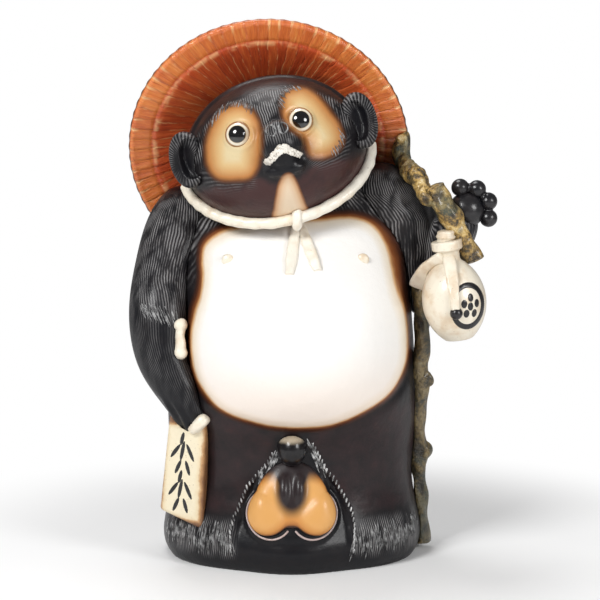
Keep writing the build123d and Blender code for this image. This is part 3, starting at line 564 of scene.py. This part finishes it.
def figure_glaze():
    """Near-black brown glaze, combed where it is fur, with a white belly and cream fields round the eyes."""
    f = Finish("figure_glaze")
    x, y, z = f.axes()
    grain = f.noise(60.0, 4.0)
    fine = f.noise(420.0, 3.0)
    colour = f.ramp(f.painted("brown") + grain.swing(0.8), BROWNS)

    fur = f.painted("fur")
    sway = grain.swing(6.0) + f.noise(20.0, 2.0).swing(14.0)
    ridge = (f.painted("comb") * (FULL_TURN / COMB_PITCH) + sway).wave()
    streak = f.noise(1.0, 3.0, 0.55, f.point(x * 90.0, y * 90.0, z * 26.0))
    # Painted highlight, partly real: the tops of the combed ridges are painted silver, for the glaze worn thin
    # there and for light glinting off them.
    worn = fur * ridge ** 2.0 * streak.between(0.33, 0.62)
    colour = f.mix(worn * 0.85, colour, SILVER)

    belly = f.painted("belly") + f.noise(45.0, 3.0).swing(0.04)
    # Darker and pinker towards the bottom of the belly.
    lower_belly = (1 - (z / MM).between(180.0, 270.0)) * belly.between(0.50, 0.56)
    field = f.mix(lower_belly * 0.5, f.ramp(belly, BELLY_COLOURS), LOWER_BELLY_TONE)
    colour = f.mix(belly.between(0.34, 0.45), colour, field)
    patch = f.painted("patch") + f.noise(70.0, 3.0).swing(0.05)
    colour = f.mix(patch.between(0.34, 0.48), colour, f.ramp(patch, PATCH_COLOURS))
    throat = f.painted("throat") + f.noise(70.0, 3.0).swing(0.05)
    colour = f.mix(throat.between(0.38, 0.50), colour, f.ramp(throat, THROAT_COLOURS))

    pits = f.specks(330.0).between(0.05, 0.16)
    relief = ridge * fur * (0.55 * MM) + grain.swing(1.0 * MM) + fine.swing(0.16 * MM) + pits * (0.06 * MM)
    rough = 0.42 - 0.08 * grain + fur * 0.10
    return f.glaze(colour, rough, relief, coat=0.16, coat_rough=0.17, shine=0.18)


def black_glaze():
    """Glassy black, a little brown where it is thin."""
    f = Finish("black_glaze")
    grain = f.noise(90.0, 3.0)
    return f.glaze(f.ramp(grain, BLACKS), 0.26 + 0.12 * grain, grain.swing(0.8 * MM), shine=0.35)


def fur_glaze(name, bright):
    """Raised hair, silver in places: partly glaze worn thin, partly a painted highlight."""
    f = Finish(name)
    grain = f.noise(160.0, 3.0)
    # The silver in this ramp is partly a painted highlight on the hair.
    colour = f.ramp(grain, [(0.34, HAIR_ROOT), (0.48, [0.4 * bright] * 3), (0.64, [bright] * 3)])
    return f.glaze(colour, 0.36 + 0.1 * grain, grain * (0.6 * MM))


def knob_glaze():
    """Glassy black under a pale painted highlight on its top."""
    f = Finish("knob_glaze")
    grain = f.noise(90.0, 3.0)
    highlight_from, highlight_full = 144.0, 149.0
    # Painted highlight: the top of the knob is painted pale cream, as the reflection of a lamp.
    highlight = (f.axes()[2] / MM + grain.swing(4.0)).between(highlight_from, highlight_full)
    colour = f.mix(highlight * 0.8, KNOB_BLACK, KNOB_HIGHLIGHT)
    return f.glaze(colour, 0.24 + 0.1 * grain, grain.swing(0.6 * MM), shine=0.3)


def cream_glaze(name, shade, worn, amount, clean=0.64):
    """Cream glaze with brown specks, thin and brown in places."""
    f = Finish(name)
    grain = f.noise(48.0, 4.0)
    fine = f.noise(350.0, 4.0, 0.65)
    colour = f.mix(grain.between(0.45, 0.72) * amount, shade, worn)
    colour = f.mix(fine.between(clean, clean + 0.08) * 0.6, colour, SPECK)
    return f.glaze(colour, 0.28 + 0.15 * fine, grain.swing(1.2 * MM) + fine.swing(0.4 * MM))


def book_glaze():
    """Cream glaze that runs to orange-brown along the book's edges."""
    f = Finish("book_glaze")
    x, _, z = f.axes(BOOK)
    grain = f.noise(60.0, 4.0)
    fine = f.noise(330.0, 4.0, 0.65)
    side = f.math("ABSOLUTE", x / MM) - BOOK_HALF_WIDTH + grain.swing(9.0)
    end = f.math("ABSOLUTE", z / MM) - BOOK_HALF_HEIGHT + grain.swing(9.0)
    colour = f.ramp(f.math("MAXIMUM", side, end).between(-6.0, 6.0), BOOK_COLOURS)
    colour = f.mix(fine.between(0.63, 0.71) * 0.6, colour, BOOK_SPECK)
    return f.glaze(colour, 0.30 + 0.15 * fine, grain.swing(1.2 * MM) + fine.swing(0.4 * MM))


def straw_glaze():
    """Orange-brown glaze over pressed straw: staves of differing shade, pale strands and a lighter rim."""
    f = Finish("straw_glaze")
    x, y, _ = f.axes(HAT)
    spread = (x * x + y * y) ** 0.5 / (HAT_RADIUS * MM)
    turn = f.math("ARCTAN2", y, x)
    sway = f.noise(34.0, 3.0)
    stave = turn * (HAT_STAVES / FULL_TURN) + sway.swing(0.9)
    cell = f.math("FLOOR", stave)
    border = f.math("ABSOLUTE", stave - cell - 0.5) * 2.0
    straw = f.noise(1.0, 3.0, 0.6, f.point(turn * 46.0, spread * 7.0, 0.0))
    strand = f.noise(1.0, 2.0, 0.6, f.point(turn * 120.0, spread * 5.0, 3.0))
    tone = straw * 0.48 + strand * 0.36 + f.chance(cell) * 0.16
    uneven = spread + sway.swing(0.03)
    rim = uneven.between(0.825, 0.855)
    colour = f.mix(rim, f.ramp(tone, STRAW_COLOURS), f.ramp(tone, RIM_COLOURS))

    patchy = f.noise(60.0, 2.0).between(0.44, 0.60)
    middle = spread.between(0.30, 0.50) * (1 - spread.between(0.80, 0.84))
    lines = border.between(0.80, 0.98) * patchy * middle
    hoop = uneven.between(0.78, 0.81) * (1 - uneven.between(0.82, 0.84))
    ticks = border.between(0.62, 0.92) * spread.between(0.90, 0.97) * f.noise(42.0, 2.0).between(0.44, 0.56)
    colour = f.mix(lines * 0.55 + hoop * patchy * 0.5 + ticks * 0.8, colour, PALE_STRAW)
    colour = f.mix(spread.between(0.985, 0.998), colour, BURNT_STRAW)
    soot = f.painted("soot") * f.noise(40.0, 4.0).between(0.22, 0.70)
    colour = f.mix(soot, colour, SOOT)
    relief = strand * (0.8 * MM) + straw * (1.0 * MM) + lines * (0.6 * MM) - border ** 6.0 * (0.8 * MM)
    return f.glaze(colour, 0.34 + 0.15 * strand, relief)


def bark_glaze():
    """Mottled yellow, brown and green glaze, dark in the hollows of the bark and down the stick."""
    f = Finish("bark_glaze")
    blot = f.noise(55.0, 4.0, 0.7)
    fine = f.noise(260.0, 4.0, 0.7)
    colour = f.ramp(blot * 0.65 + fine * 0.35, BARK_COLOURS)
    moss = f.noise(26.0, 2.0).between(0.50, 0.62)
    colour = f.mix(moss * 0.65, colour, MOSS)
    dark_below, bright_above = 270.0, 350.0
    low = 1 - (f.axes()[2] / MM + moss.swing(40.0)).between(dark_below, bright_above)
    colour = f.mix(low * 0.7, colour, DARK_BARK)
    colour = f.mix(f.painted("hollow") * 0.8, colour, BARK_HOLLOW)
    return f.glaze(colour, 0.28 + 0.2 * fine, blot * (5.0 * MM) + fine * (2.0 * MM))


def orange_glaze():
    """Orange glaze, darker along the edge next to the body and lighter where it stands furthest out, and burnt
    dark down the pleats.
    """
    f = Finish("orange_glaze")
    grain = f.noise(60.0, 3.0)
    # Darker where the bag lies close to the body, lighter the further it stands out from it.
    colour = f.ramp(f.painted("rise") + grain.swing(0.06), ORANGES)
    colour = f.mix(f.painted("shade"), colour, PLEAT)
    return f.glaze(colour, 0.34 + 0.1 * grain, grain.swing(0.6 * MM), coat=0.2, coat_rough=0.2, shine=0.3)


def eye_glaze(name, front):
    """A black pupil in a cream ring with a thin amber edge."""
    f = Finish(name)
    x, y, z = f.axes(Matrix.Translation(front))
    spread = (x * x + y * y + z * z) ** 0.5 / (EYE_RAMP * MM)
    pupil = PUPIL_RADIUS / EYE_RAMP
    colour = f.ramp(spread, [
        (0.0, PUPIL), (pupil - 0.01, PUPIL), (pupil + 0.02, (0.62, 0.50, 0.32)),
        (pupil + 0.06, (0.84, 0.79, 0.68)), (pupil + 0.16, (0.80, 0.70, 0.52)),
        (pupil + 0.22, (0.30, 0.14, 0.05))])
    return f.glaze(colour, 0.10, f.noise(200.0) * (0.05 * MM), coat=1.0)


# Pieces


def between_legs(x, z):
    """1 between the inner edges of the legs, 0 on the legs."""
    low, high = (np.interp(z, *np.array(LEG_EDGES[side])[::-1, ::-1].T) for side in ("right", "left"))
    return ease(x, low - 2, low + 8) * fade(x, high - 8, high + 2) * fade(z, 140, 165)


def cleft(x, z):
    """How deep the hollow round the bag is, from 0 to 1."""
    clear = np.min([np.hypot((x - a) / c, (z - b) / d) for a, b, c, d in BAG_OVALS], axis=0)
    return between_legs(x, z) * ease(z, 0, 80) * fade(z, 105, 160) * ease(clear, 0.96, 1.30)


def torso(finish):
    """The hollow torso: a swelling belly, a hollow between the legs, and two soft feet."""
    foot_swell, cleft_depth, slip_height = 3.0, 7.0, 1.4
    piece = clay("body", 2.6, 4, "body_front", "body_back")
    x, y, z = in_frame(piece, UPRIGHT)
    front = fade(y, -45, -15)
    inside = depth_inside(x, z, BELLY)
    low = fade(z, 290, 350)
    swell = ease(inside, -5, 12) * (1.0 + 3.0 * low)
    groove = hill(inside + 8, 6) * (0.8 + 2.2 * low)
    feet = sum(hill(x - (left + right) / 2, 40) for left, right in FOOT_FUR.values()) * fade(z, 30, 60)
    slip = hill(distance_to(piece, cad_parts["straw_hat"]), 4) * ease(y, 20, 40)
    push(piece, (swell - groove + foot_swell * feet - cleft_depth * cleft(x, z)) * front + slip_height * slip)

    x, y, z = in_frame(piece, UPRIGHT)
    hollow = cleft(x, z) * front
    inside = depth_inside(x, z, BELLY)
    amber = 2.0 * spot(x, z, *AMBER_SPOT, tall=1.6)
    turn = np.arctan2(x, -y)
    chest = (z > 250) & (y < 0)
    off_seam = fade(np.abs(turn), 2.6, 2.9)
    paws = sum(ease(x, left - 6, left + 6) * fade(x, right, right + 14) for left, right in FOOT_FUR.values())
    hem = fade(z, 46, 62) * ease(z, 10, 26) * np.maximum(paws * front, ease(y, 0, 30) * off_seam)
    shoulders = ease(z, 300, 380) * fade(inside, -12, -3) * front
    back = (1 - front) * off_seam * 0.28
    legs = fade(z, 170, 200) * ease(z, 50, 70) * (1 - hollow) * (1 - 0.8 * between_legs(x, z) * front)
    belly = 0.5 + np.where(inside < 0, inside / (1 + amber), inside) / BELLY_BLEND
    paint_figure(
        piece,
        fur=np.clip(hem + shoulders + back, 0, 1),
        comb=np.where(chest, fan(x, z, *CHEST_FAN), turn * TORSO_GIRTH),
        brown=np.clip(0.10 + 0.50 * legs + 0.2 * ease(z, 100, 300), 0, 1),
        belly=np.where(y < 0, np.clip(belly, 0, 1), 0),
    )
    return seat(piece, "dark_brown_glaze", finish, "body_front", "body_back")


def eye_patches(x, z):
    """How far each place of the face lies inside the field round either eye."""
    return np.maximum(depth_inside(x, z, RIGHT_PATCH), depth_inside(x, z, LEFT_PATCH))


def head(finish):
    """The head with its snout, brow, eye fields, throat and mouth."""
    brow_height, patch_depth, bridge_height, mouth_depth, lid_height = 2.2, 1.5, 4.0, 5.0, 1.6
    piece = clay("head", 1.6, 3, "head_shell", "muzzle", "nose", "lower_lip")
    x, y, z = in_frame(piece, HEAD)
    soften(piece, (np.hypot(x - SNOUT_X, z + 2) < 44) & (y < -60), 16)

    x, y, z = in_frame(piece, HEAD)
    face = fade(y, -35, -10)
    crown = np.hypot(x / HEAD_HALVES[0], z / HEAD_HALVES[2])
    mouth = depth_inside(x, z, MOUTH)
    heights = brow_height * hill(crown - 0.955, 0.014) * ease(z, 0, 25)
    heights -= patch_depth * ease(eye_patches(x, z), -3, 5) * face
    heights += bridge_height * hill(x - 3, 12) * ease(z, 8, 26) * fade(z, 40, 62) * face
    heights -= mouth_depth * ease(mouth, -1.5, 4) * face
    for across, up in EYES.values():
        heights += lid_height * hill(np.hypot(x - across, z - up) - EYELID_RADIUS, 2.2) * face
    push(piece, heights)

    x, y, z = in_frame(piece, HEAD)
    patch = eye_patches(x, z)
    throat = depth_inside(x, z, THROAT)
    band = np.hypot(x / 96, z / 66)
    forehead = ease(z, 2, 16) * fade(band, 0.94, 1.0)
    fringe = hill(patch + 5, 6) * fade(z, -10, 10)
    snout = fade(np.hypot(x - SNOUT_X, z - 2), 26, 44) * face
    chin = fade(z, -30, -14) * face * (1 - snout)
    brown = 0.22 + 0.76 * chin + 0.25 * ease(band, 0.99, 1.04) - 0.2 * snout - ease(mouth, -3, 2)
    paint_figure(
        piece,
        fur=np.clip((forehead + 0.4 * fringe) * fade(patch, -4, 1) * face, 0, 1),
        comb=np.where(z > -2, x, fan(x, z, *CHIN_FAN)),
        brown=np.clip(brown, 0, 1),
        patch=np.where(y < 10, np.clip(0.5 + patch / PATCH_BLEND, 0, 1), 0),
        throat=np.where(y < 10, np.clip(0.5 + throat / THROAT_BLEND, 0, 1), 0),
    )
    return seat(piece, "dark_brown_glaze", finish, "head_shell", "muzzle", "nose", "lower_lip")


def eye(side):
    """A glassy eyeball."""
    across, up = EYES[side]
    depth = HEAD_HALVES[1] * math.sqrt(1 - (across / HEAD_HALVES[0]) ** 2 - (up / HEAD_HALVES[2]) ** 2)
    middle = HEAD @ (Vector((across, EYE_SINK - depth, up)) * MM)
    shape = bmesh.new()
    bmesh.ops.create_uvsphere(shape, u_segments=64, v_segments=40, radius=EYE_RADIUS * MM,
                              matrix=Matrix.Translation(middle))
    ahead = (HEAD.to_3x3() @ Vector((across / EYE_SQUINT, -1, up / EYE_SQUINT))).normalized()
    finish = eye_glaze(side + "_eye_glaze", middle + ahead * EYE_RADIUS * MM)
    return seat(new_piece(side + "_eyeball", shape), "eye_glaze", finish, side + "_eye")


def nose_curls(finish, skull):
    """The two curled nostrils, rolled from thin clay."""
    start, sweep = math.radians(250), 5.7
    wide, narrow, tall = 5.4, 4.4, 1.15
    tree = tree_of(skull)
    spots = []
    for side, (across, up) in zip((-1, 1), NOSTRILS):
        for share in np.linspace(0, 1, 34):
            turn = start - sweep * share
            reach = wide - (wide - narrow) * share
            hit, _ = front_hit(tree, HEAD, across + side * reach * math.cos(turn),
                               up + tall * reach * math.sin(turn))
            spots.append(hit)
    return seat(thin_roll("nose_curls", spots, 1.1, 0.5, 2), "dark_brown_glaze", finish)


def teeth(finish):
    """The strip of teeth: thick in the middle, thin at its left end, a little uneven."""
    piece = clay("teeth", 0.8, 2, "upper_teeth")
    x = in_frame(piece, HEAD)[0]
    uneven = 0.2 * np.sin(x * 2.1) + 0.7 * lumps(places_of(piece), 8, 2)
    push(piece, 1.1 * hill(x - 4, 5) - 1.0 * ease(x, 14, 20) + uneven)
    return seat(piece, "cream_glaze", finish, "upper_teeth")


def ear(side, finish):
    """A cupped ear with hair combed out over its rim."""
    combs = 44
    piece = clay(side + "_cupped_ear", 1.2, 5, side + "_ear")
    low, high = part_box(side + "_ear")
    x, _, z = in_frame(piece, Matrix.Translation((low + high) / 2))
    turn = np.arctan2(z, x)
    if side == "right":
        turn = np.mod(turn, FULL_TURN)
    rim = ease(np.hypot(x / 18, z / 30), 0.45, 0.8)
    paint_figure(piece, fur=rim * 0.7, comb=turn * combs * COMB_PITCH / FULL_TURN, brown=0.1)
    return seat(piece, "dark_brown_glaze", finish, side + "_ear")


def rolled(name, finish, height, node):
    """A piece rolled and pinched by hand, so a little uneven."""
    piece = clay(name, 1.1, 3, node)
    push(piece, height * lumps(places_of(piece), 14, 7))
    return seat(piece, "cream_glaze", finish, node)


def straw_hat(finish, skull, body):
    """The hat: ribs pressed in its clay, a step at the rim band and dark overspray next to the head."""
    rib_height, step_depth, lip_height = 0.35, 0.9, 0.8
    piece = clay("hat", 2.0, 2, "straw_hat")
    x, y, _ = in_frame(piece, HAT)
    spread = np.hypot(x, y) / HAT_RADIUS
    joint = distance_to(piece, body)
    soften(piece, joint < 6, 12)
    ribs = np.sin(np.arctan2(y, x) * HAT_STAVES) * ease(spread, 0.35, 0.6) * ease(joint, 3, 16)
    step, lip = hill(spread - HAT_STEP, 0.012), hill(spread - HAT_LIP, 0.02)
    push(piece, rib_height * ribs - step_depth * step + lip_height * lip)
    near = distance_to(piece, skull)
    x, _, z = in_frame(piece, UPRIGHT)
    paint(piece, soot=np.clip(0.7 * fade(near, 3, 15) + spot(x, z, *SOOT_SPOT), 0, 1))
    return seat(piece, "straw_glaze", finish, "straw_hat")


def arm(side, finish, slant):
    """A furry arm, combed lengthwise; the right one ends in a paw with light ridges for fingers."""
    step, reach = 10, 14
    finger_height, finger_pitch = 1.3, 11
    piece = clay(side + "_sleeve", 2.0, 4, side + "_arm")
    x, y, z = in_frame(piece, UPRIGHT)
    levels = np.arange(z.min(), z.max() + step, step)
    rings = (np.abs(z - level) < reach for level in levels)
    middles = np.array([(x[ring].mean(), y[ring].mean()) for ring in rings])
    across = x - np.interp(z, levels, middles[:, 0])
    ahead = np.interp(z, levels, middles[:, 1]) - y
    turn = np.arctan2(across, ahead)
    uneven = lumps(places_of(piece), 100, 5)
    if side == "right":
        fingers = np.cos(across * (FULL_TURN / finger_pitch)) * fade(z, 180, 200) * ease(ahead, 0, 6)
        push(piece, finger_height * fingers)
    fur = fade(np.abs(turn), 2.5, 2.9) * (0.35 + 0.65 * ease(z, 270, 310)) * (0.75 + 0.25 * uneven)
    fur *= ease(np.hypot(across, ahead), 16, 30) * (0.25 + 0.75 * fade(np.abs(turn), 1.0, 1.5))
    brown = np.clip(0.15 + 0.35 * lumps(places_of(piece), 120, 3), 0, 1)
    paint_figure(piece, fur=fur, comb=turn * ARM_GIRTH + z * slant + 2 * uneven, brown=brown)
    return seat(piece, "dark_brown_glaze", finish, side + "_arm")


def tail(finish):
    piece = clay("tail_pad", 2.0, 3, "tail")
    x, _, z = in_frame(piece, UPRIGHT)
    paint_figure(piece, fur=0.8, comb=x + 0.2 * z, brown=0.2)
    return seat(piece, "dark_brown_glaze", finish, "tail")


def stick(node, finish, seed):
    """A length of knotty stick with lumpy, furrowed bark."""
    swell_height, furrow_height, furrow_stretch = 2.3, 1.8, 0.4
    piece = clay(node + "_bark", 1.4, 2, node)
    places = places_of(piece)
    swell = lumps(places, 40, seed)
    furrow = lumps(places * np.array([1, 1, furrow_stretch]), 13, seed + 1)
    push(piece, swell_height * swell + furrow_height * furrow)
    paint(piece, hollow=ease(-furrow, 0.2, 0.9))
    return seat(piece, "bark_glaze", finish, node)


def money_bag(finish, body):
    """The bag, with its pleats and its neck burnt dark."""
    waist_height, full_rise = 5.0, 10
    piece = clay("hanging_bag", 1.2, 45, "money_bag")
    x, y, z = in_frame(piece, UPRIGHT)
    waist = hill(np.abs(x) - 34, 12) * hill(z - 86, 14) * fade(y, -90, -60)
    push(piece, waist_height * waist)
    rise = distance_to(piece, body)
    x, _, z = in_frame(piece, UPRIGHT)
    pleats = ease(1 - np.hypot(x / 23, (z - 94) / 34), 0.0, 0.5)
    neck = ease(z, 98, 114)
    paint(piece, rise=np.clip(rise / full_rise, 0, 1), shade=np.clip(pleats + neck, 0, 1))
    return seat(piece, "orange_glaze", finish, "money_bag")


def bag_seam(finish, body):
    """A thin pale roll of clay round the foot of the bag's lobes."""
    clearance = 0.5
    tree = tree_of(body)
    spots = []
    for side, (across, up, half_width, half_height) in zip((-1, 1), BAG_OVALS):
        for angle in np.arange(110, 322, 2.5):
            turn = math.radians(angle)
            hit, _ = front_hit(tree, UPRIGHT, across - side * math.cos(turn) * (half_width + clearance),
                               up + math.sin(turn) * (half_height + clearance))
            spots.append(hit)
    return seat(thin_roll("bag_seam", spots, 1.3, 0.6, 3), "orange_glaze", finish)


def leg_fur(finish, body):
    """Short raised locks along the inner edge of each leg, and longer ones where the edge starts."""
    tree = tree_of(body)
    shape = bmesh.new()
    for side, edge in LEG_EDGES.items():
        away = -1 if side == "right" else 1
        for share in np.linspace(0, 1, 24):
            across, up = along_line(edge, share)
            hit, normal = front_hit(tree, UPRIGHT, across + away, up)
            lock(shape, hit, normal, Vector((-away * 0.25, 0, -1)), RNG.uniform(2.8, 3.8), *SHORT_LOCK)
        for _ in range(26):
            across, up = along_line(edge, RNG.uniform(0.0, 0.28))
            across, up = across - away * RNG.uniform(0, 6), up + RNG.uniform(-4, 4)
            hit, normal = front_hit(tree, UPRIGHT, across, up)
            lock(shape, hit, normal, Vector((away * 0.4, 0, -1)), RNG.uniform(4, 8), *LONG_LOCK)
    return seat(new_piece("leg_fur", shape), "dark_brown_glaze", finish)


def foot_fur(finish, body):
    """Tufts of hair over each foot."""
    tree = tree_of(body)
    shape = bmesh.new()
    for low, high in FOOT_FUR.values():
        for tuft in np.linspace(low, high, 11):
            level = RNG.uniform(28, 42)
            for _ in range(11):
                across, up = tuft + RNG.gauss(0, 3), level + RNG.gauss(0, 5)
                hit, normal = front_hit(tree, UPRIGHT, across, up)
                lie = Vector(((across - tuft) * 0.05, 0, -1))
                lock(shape, hit, normal, lie, RNG.uniform(4, 9), *FINE_LOCK)
    return seat(new_piece("foot_fur", shape), "dark_brown_glaze", finish)


def face_fur(finish, skull):
    """Locks that stand out from the upper edges of the eye fields and from the left cheek."""
    tree = tree_of(skull)
    shape = bmesh.new()
    for outline in (RIGHT_PATCH, LEFT_PATCH):
        curve = closed_curve(outline, 12)
        middle = curve.mean(0)
        for across, up in curve:
            brow = up > 43 and across < 40
            cheek = across > 58 and up < 2
            if not (brow or cheek):
                continue
            lie = HEAD.to_3x3() @ Vector((0.3 * (across - middle[0]), 0, up - middle[1]))
            hit, normal = front_hit(tree, HEAD, across + RNG.uniform(-2, 2), up + RNG.uniform(-1, 4))
            lock(shape, hit, normal, lie, RNG.uniform(2.5, 5.5), *FACE_LOCK)
    return seat(new_piece("face_fur", shape), "dark_brown_glaze", finish)


def sleeve_fur(finish, sleeve):
    """The ragged hem where the fur of the upper right arm ends."""
    tree = tree_of(sleeve)
    shape = bmesh.new()
    for _ in range(46):
        share = RNG.random()
        across, up = along_line(SLEEVE_HEM, share)
        hit, normal = front_hit(tree, UPRIGHT, across, up + RNG.uniform(-6, 6))
        lock(shape, hit, normal, Vector((0.7 - 0.5 * share, 0, -1)), RNG.uniform(4, 8), *FINE_LOCK)
    return seat(new_piece("sleeve_fur", shape), "dark_brown_glaze", finish)


def book_leaves(finish, book):
    """Two sprigs of leaves, brushed on the book's face."""
    tree = tree_of(book)
    shape = bmesh.new()
    for middle in SPRIGS_UP:
        for across, up, angle, length in LEAVES:
            turn = math.radians(angle)
            hit, normal = front_hit(tree, BOOK, across, middle + up)
            lie = BOOK.to_3x3() @ Vector((math.cos(turn), 0, math.sin(turn)))
            lock(shape, hit, normal, lie, length, LEAF_HALF_WIDTH, STROKE_HEIGHT)
    return seat(new_piece("book_leaves", shape), "dark_brown_glaze", finish)


def flask_ring(finish, flask):
    """A ring with a flower of five petals in it, brushed on the flask's belly."""
    middle_share, middle_up = 0.68, 43
    ring_width, ring_height, ring_start, ring_sweep = 17, 23, 195, 300
    stroke_length, stroke_thin, stroke_swell = 3.0, 2.4, 1.8
    petals, petal_reach, petal_length, petal_width = 5, 7.4, 4.7, 3.5
    flower_across, flower_tall = 3, 1.3
    tree = tree_of(flask)
    low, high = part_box("flask")
    middle = middle_share * high.x + (1 - middle_share) * low.x
    view = Matrix.Translation((middle, 0, low.z + middle_up * MM))
    shape = bmesh.new()
    for share in np.linspace(0, 1, 64):
        turn = math.radians(ring_start + ring_sweep * share)
        hit, normal = front_hit(tree, view, ring_width * math.cos(turn), ring_height * math.sin(turn))
        lie = Vector((-math.sin(turn), 0, math.cos(turn)))
        width = stroke_thin + stroke_swell * math.sin(math.pi * share)
        lock(shape, hit, normal, lie, stroke_length, width, STROKE_HEIGHT)
    for petal in range(petals + 1):
        turn = math.radians(90 + 360 / petals * petal)
        reach = petal_reach if petal else 0
        hit, normal = front_hit(tree, view, flower_across + reach * math.cos(turn),
                                flower_tall * reach * math.sin(turn))
        lock(shape, hit, normal, Vector((0, 0, 1)), petal_length, petal_width, STROKE_HEIGHT)
    return seat(new_piece("flask_ring", shape), "dark_brown_glaze", finish)


def flask_cap(finish):
    """The stopper, ringed like a lid."""
    ring_height, rings = 0.7, 1.1
    piece = clay("flask_cap", 0.9, 2, "flask_stopper")
    push(piece, ring_height * np.sin(in_frame(piece, UPRIGHT)[2] * rings))
    return seat(piece, "cream_glaze", finish, "flask_stopper")


def plain(name, finish, slot, voxel, rounds, *nodes):
    """A piece that keeps the form of its solids."""
    return seat(clay(name, voxel, rounds, *nodes), slot, finish, *nodes)


# Stage

FLOOR_RADIUS = 6.0
FLOOR_GREY = (0.92, 0.92, 0.92)
FLOOR_FADE = (0.26, 0.55)
ROOM_LIGHT, WHITE_SKY = 0.18, 1.0
LAMP_SIZE = 0.9
LAMP_AIM = Vector((0, 0, 0.3))
LAMPS = [("key", (-1.2, -1.6, 1.6), 42), ("fill", (1.6, -1.5, 1.0), 24), ("top", (-0.3, 0.5, 2.0), 14)]
CAMERA_TILT = math.radians(9)
CAMERA_DISTANCE = 2.6
CAMERA_AIM = AXIS + Vector((0.009, 0, 0.2866))
CAMERA_SENSOR = 36
CAMERA_LENS = 138.6


def stage():
    """A pale floor that fades to white, soft lamps and the camera."""
    f = Finish("white_floor")
    seen = Wire(f, f.node("ShaderNodeLightPath").outputs["Is Camera Ray"])
    x, y, _ = f.axes()
    far = ((x * x + y * y) ** 0.5).between(*FLOOR_FADE)
    matte = f.node("ShaderNodeBsdfDiffuse", None, {"Color": FLOOR_GREY}).outputs[0]
    glow = f.node("ShaderNodeEmission", None, {"Color": (1, 1, 1), "Strength": 1.0}).outputs[0]
    both = f.node("ShaderNodeMixShader", None, {0: seen * far, 1: matte, 2: glow})
    f.node("ShaderNodeOutputMaterial", None, {"Surface": both.outputs[0]})
    shape = bmesh.new()
    bmesh.ops.create_circle(shape, cap_ends=True, segments=64, radius=FLOOR_RADIUS)
    floor = new_piece("floor", shape)
    floor.data.materials.append(f.material)

    world = bpy.data.worlds.new("studio")
    bpy.context.scene.world = world
    world.use_nodes = True
    tree = world.node_tree
    tree.nodes.clear()
    mixed = tree.nodes.new("ShaderNodeMixShader")
    tree.links.new(tree.nodes.new("ShaderNodeLightPath").outputs["Is Camera Ray"], mixed.inputs[0])
    for i, strength in ((1, ROOM_LIGHT), (2, WHITE_SKY)):
        sky = tree.nodes.new("ShaderNodeBackground")
        sky.inputs["Color"].default_value = (1, 1, 1, 1)
        sky.inputs["Strength"].default_value = strength
        tree.links.new(sky.outputs[0], mixed.inputs[i])
    tree.links.new(mixed.outputs[0], tree.nodes.new("ShaderNodeOutputWorld").inputs[0])

    for name, place, power in LAMPS:
        lamp(name, place, power)

    data = bpy.data.cameras.new("camera")
    camera = bpy.data.objects.new("camera", data)
    bpy.context.scene.collection.objects.link(camera)
    ahead = Vector((0, math.cos(CAMERA_TILT), -math.sin(CAMERA_TILT)))
    camera.location = CAMERA_AIM - ahead * CAMERA_DISTANCE
    camera.rotation_euler = ahead.to_track_quat("-Z", "Y").to_euler()
    data.sensor_width = CAMERA_SENSOR
    data.lens = CAMERA_LENS
    bpy.context.scene.camera = camera
    bpy.context.scene.view_settings.view_transform = "Standard"


def lamp(name, place, power):
    data = bpy.data.lights.new(name, "AREA")
    data.shape = "DISK"
    data.size = LAMP_SIZE
    data.energy = power
    light = bpy.data.objects.new(name, data)
    light.location = place
    light.rotation_euler = (LAMP_AIM - Vector(place)).to_track_quat("-Z", "Y").to_euler()
    bpy.context.scene.collection.objects.link(light)


def main():
    figure, black = figure_glaze(), black_glaze()
    hair, thin_hair = fur_glaze("fur_glaze", 0.60), fur_glaze("thin_fur_glaze", 0.36)
    white = cream_glaze("white_glaze", (0.84, 0.79, 0.69), (0.66, 0.50, 0.30), 0.4)
    rose = cream_glaze("rose_glaze", (0.50, 0.39, 0.37), (0.34, 0.22, 0.18), 0.5)
    cream = cream_glaze("cream_glaze", (0.82, 0.75, 0.62), (0.60, 0.42, 0.24), 0.6)
    tooth = cream_glaze("tooth_glaze", (0.84, 0.80, 0.72), (0.40, 0.34, 0.27), 0.7, clean=0.52)

    body = torso(figure)
    skull = head(figure)
    teeth(tooth)
    nose_curls(thin_hair, skull)
    for side in EYES:
        eye(side)
        ear(side, figure)
        rolled(side + "_cord", cream if side == "right" else white, 0.5, side + "_chin_cord")
        rolled(side + "_cord_end", white, 0.4, side + "_cord_tail")
        rolled("flask_" + side + "_ribbon", cream, 0.4, side + "_ribbon")
        plain(side + "_breast_stud", cream, "dark_brown_glaze", 0.8, 3, side + "_nipple")
    rolled("cord_loop", white, 0.4, "cord_knot")
    straw_hat(straw_glaze(), skull, body)

    right_sleeve = arm("right", figure, 0.12)
    arm("left", figure, -0.1)
    book = plain("book", book_glaze(), "cream_glaze", 1.3, 3, "account_book")
    book_leaves(black, book)
    rolled("book_roll", cream, 0.9, "book_tie")
    rolled("wrist_bone", cream, 0.8, "wrist_tie")
    plain("paw_palm", black, "dark_brown_glaze", 1.5, 3, "left_palm")
    plain("paw_fingers", black, "dark_brown_glaze", 1.2, 2, "left_fingers")

    bark = bark_glaze()
    for i, node in enumerate(("stick_trunk", "stick_fork", "held_branch", "stick_head")):
        stick(node, bark, 20 + 2 * i)
    flask = plain("flask_body", cream, "cream_glaze", 1.2, 2, "flask")
    flask_ring(black, flask)
    flask_cap(cream)
    plain("flask_tassel", black, "cream_glaze", 0.8, 2, "ribbon_tassel")

    money_bag(orange_glaze(), body)
    bag_seam(rose, body)
    plain("bag_plug", knob_glaze(), "dark_brown_glaze", 0.9, 3, "bag_knob")
    tail(figure)
    leg_fur(hair, body)
    foot_fur(thin_hair, body)
    face_fur(thin_hair, skull)
    sleeve_fur(thin_hair, right_sleeve)
    stage()


main()
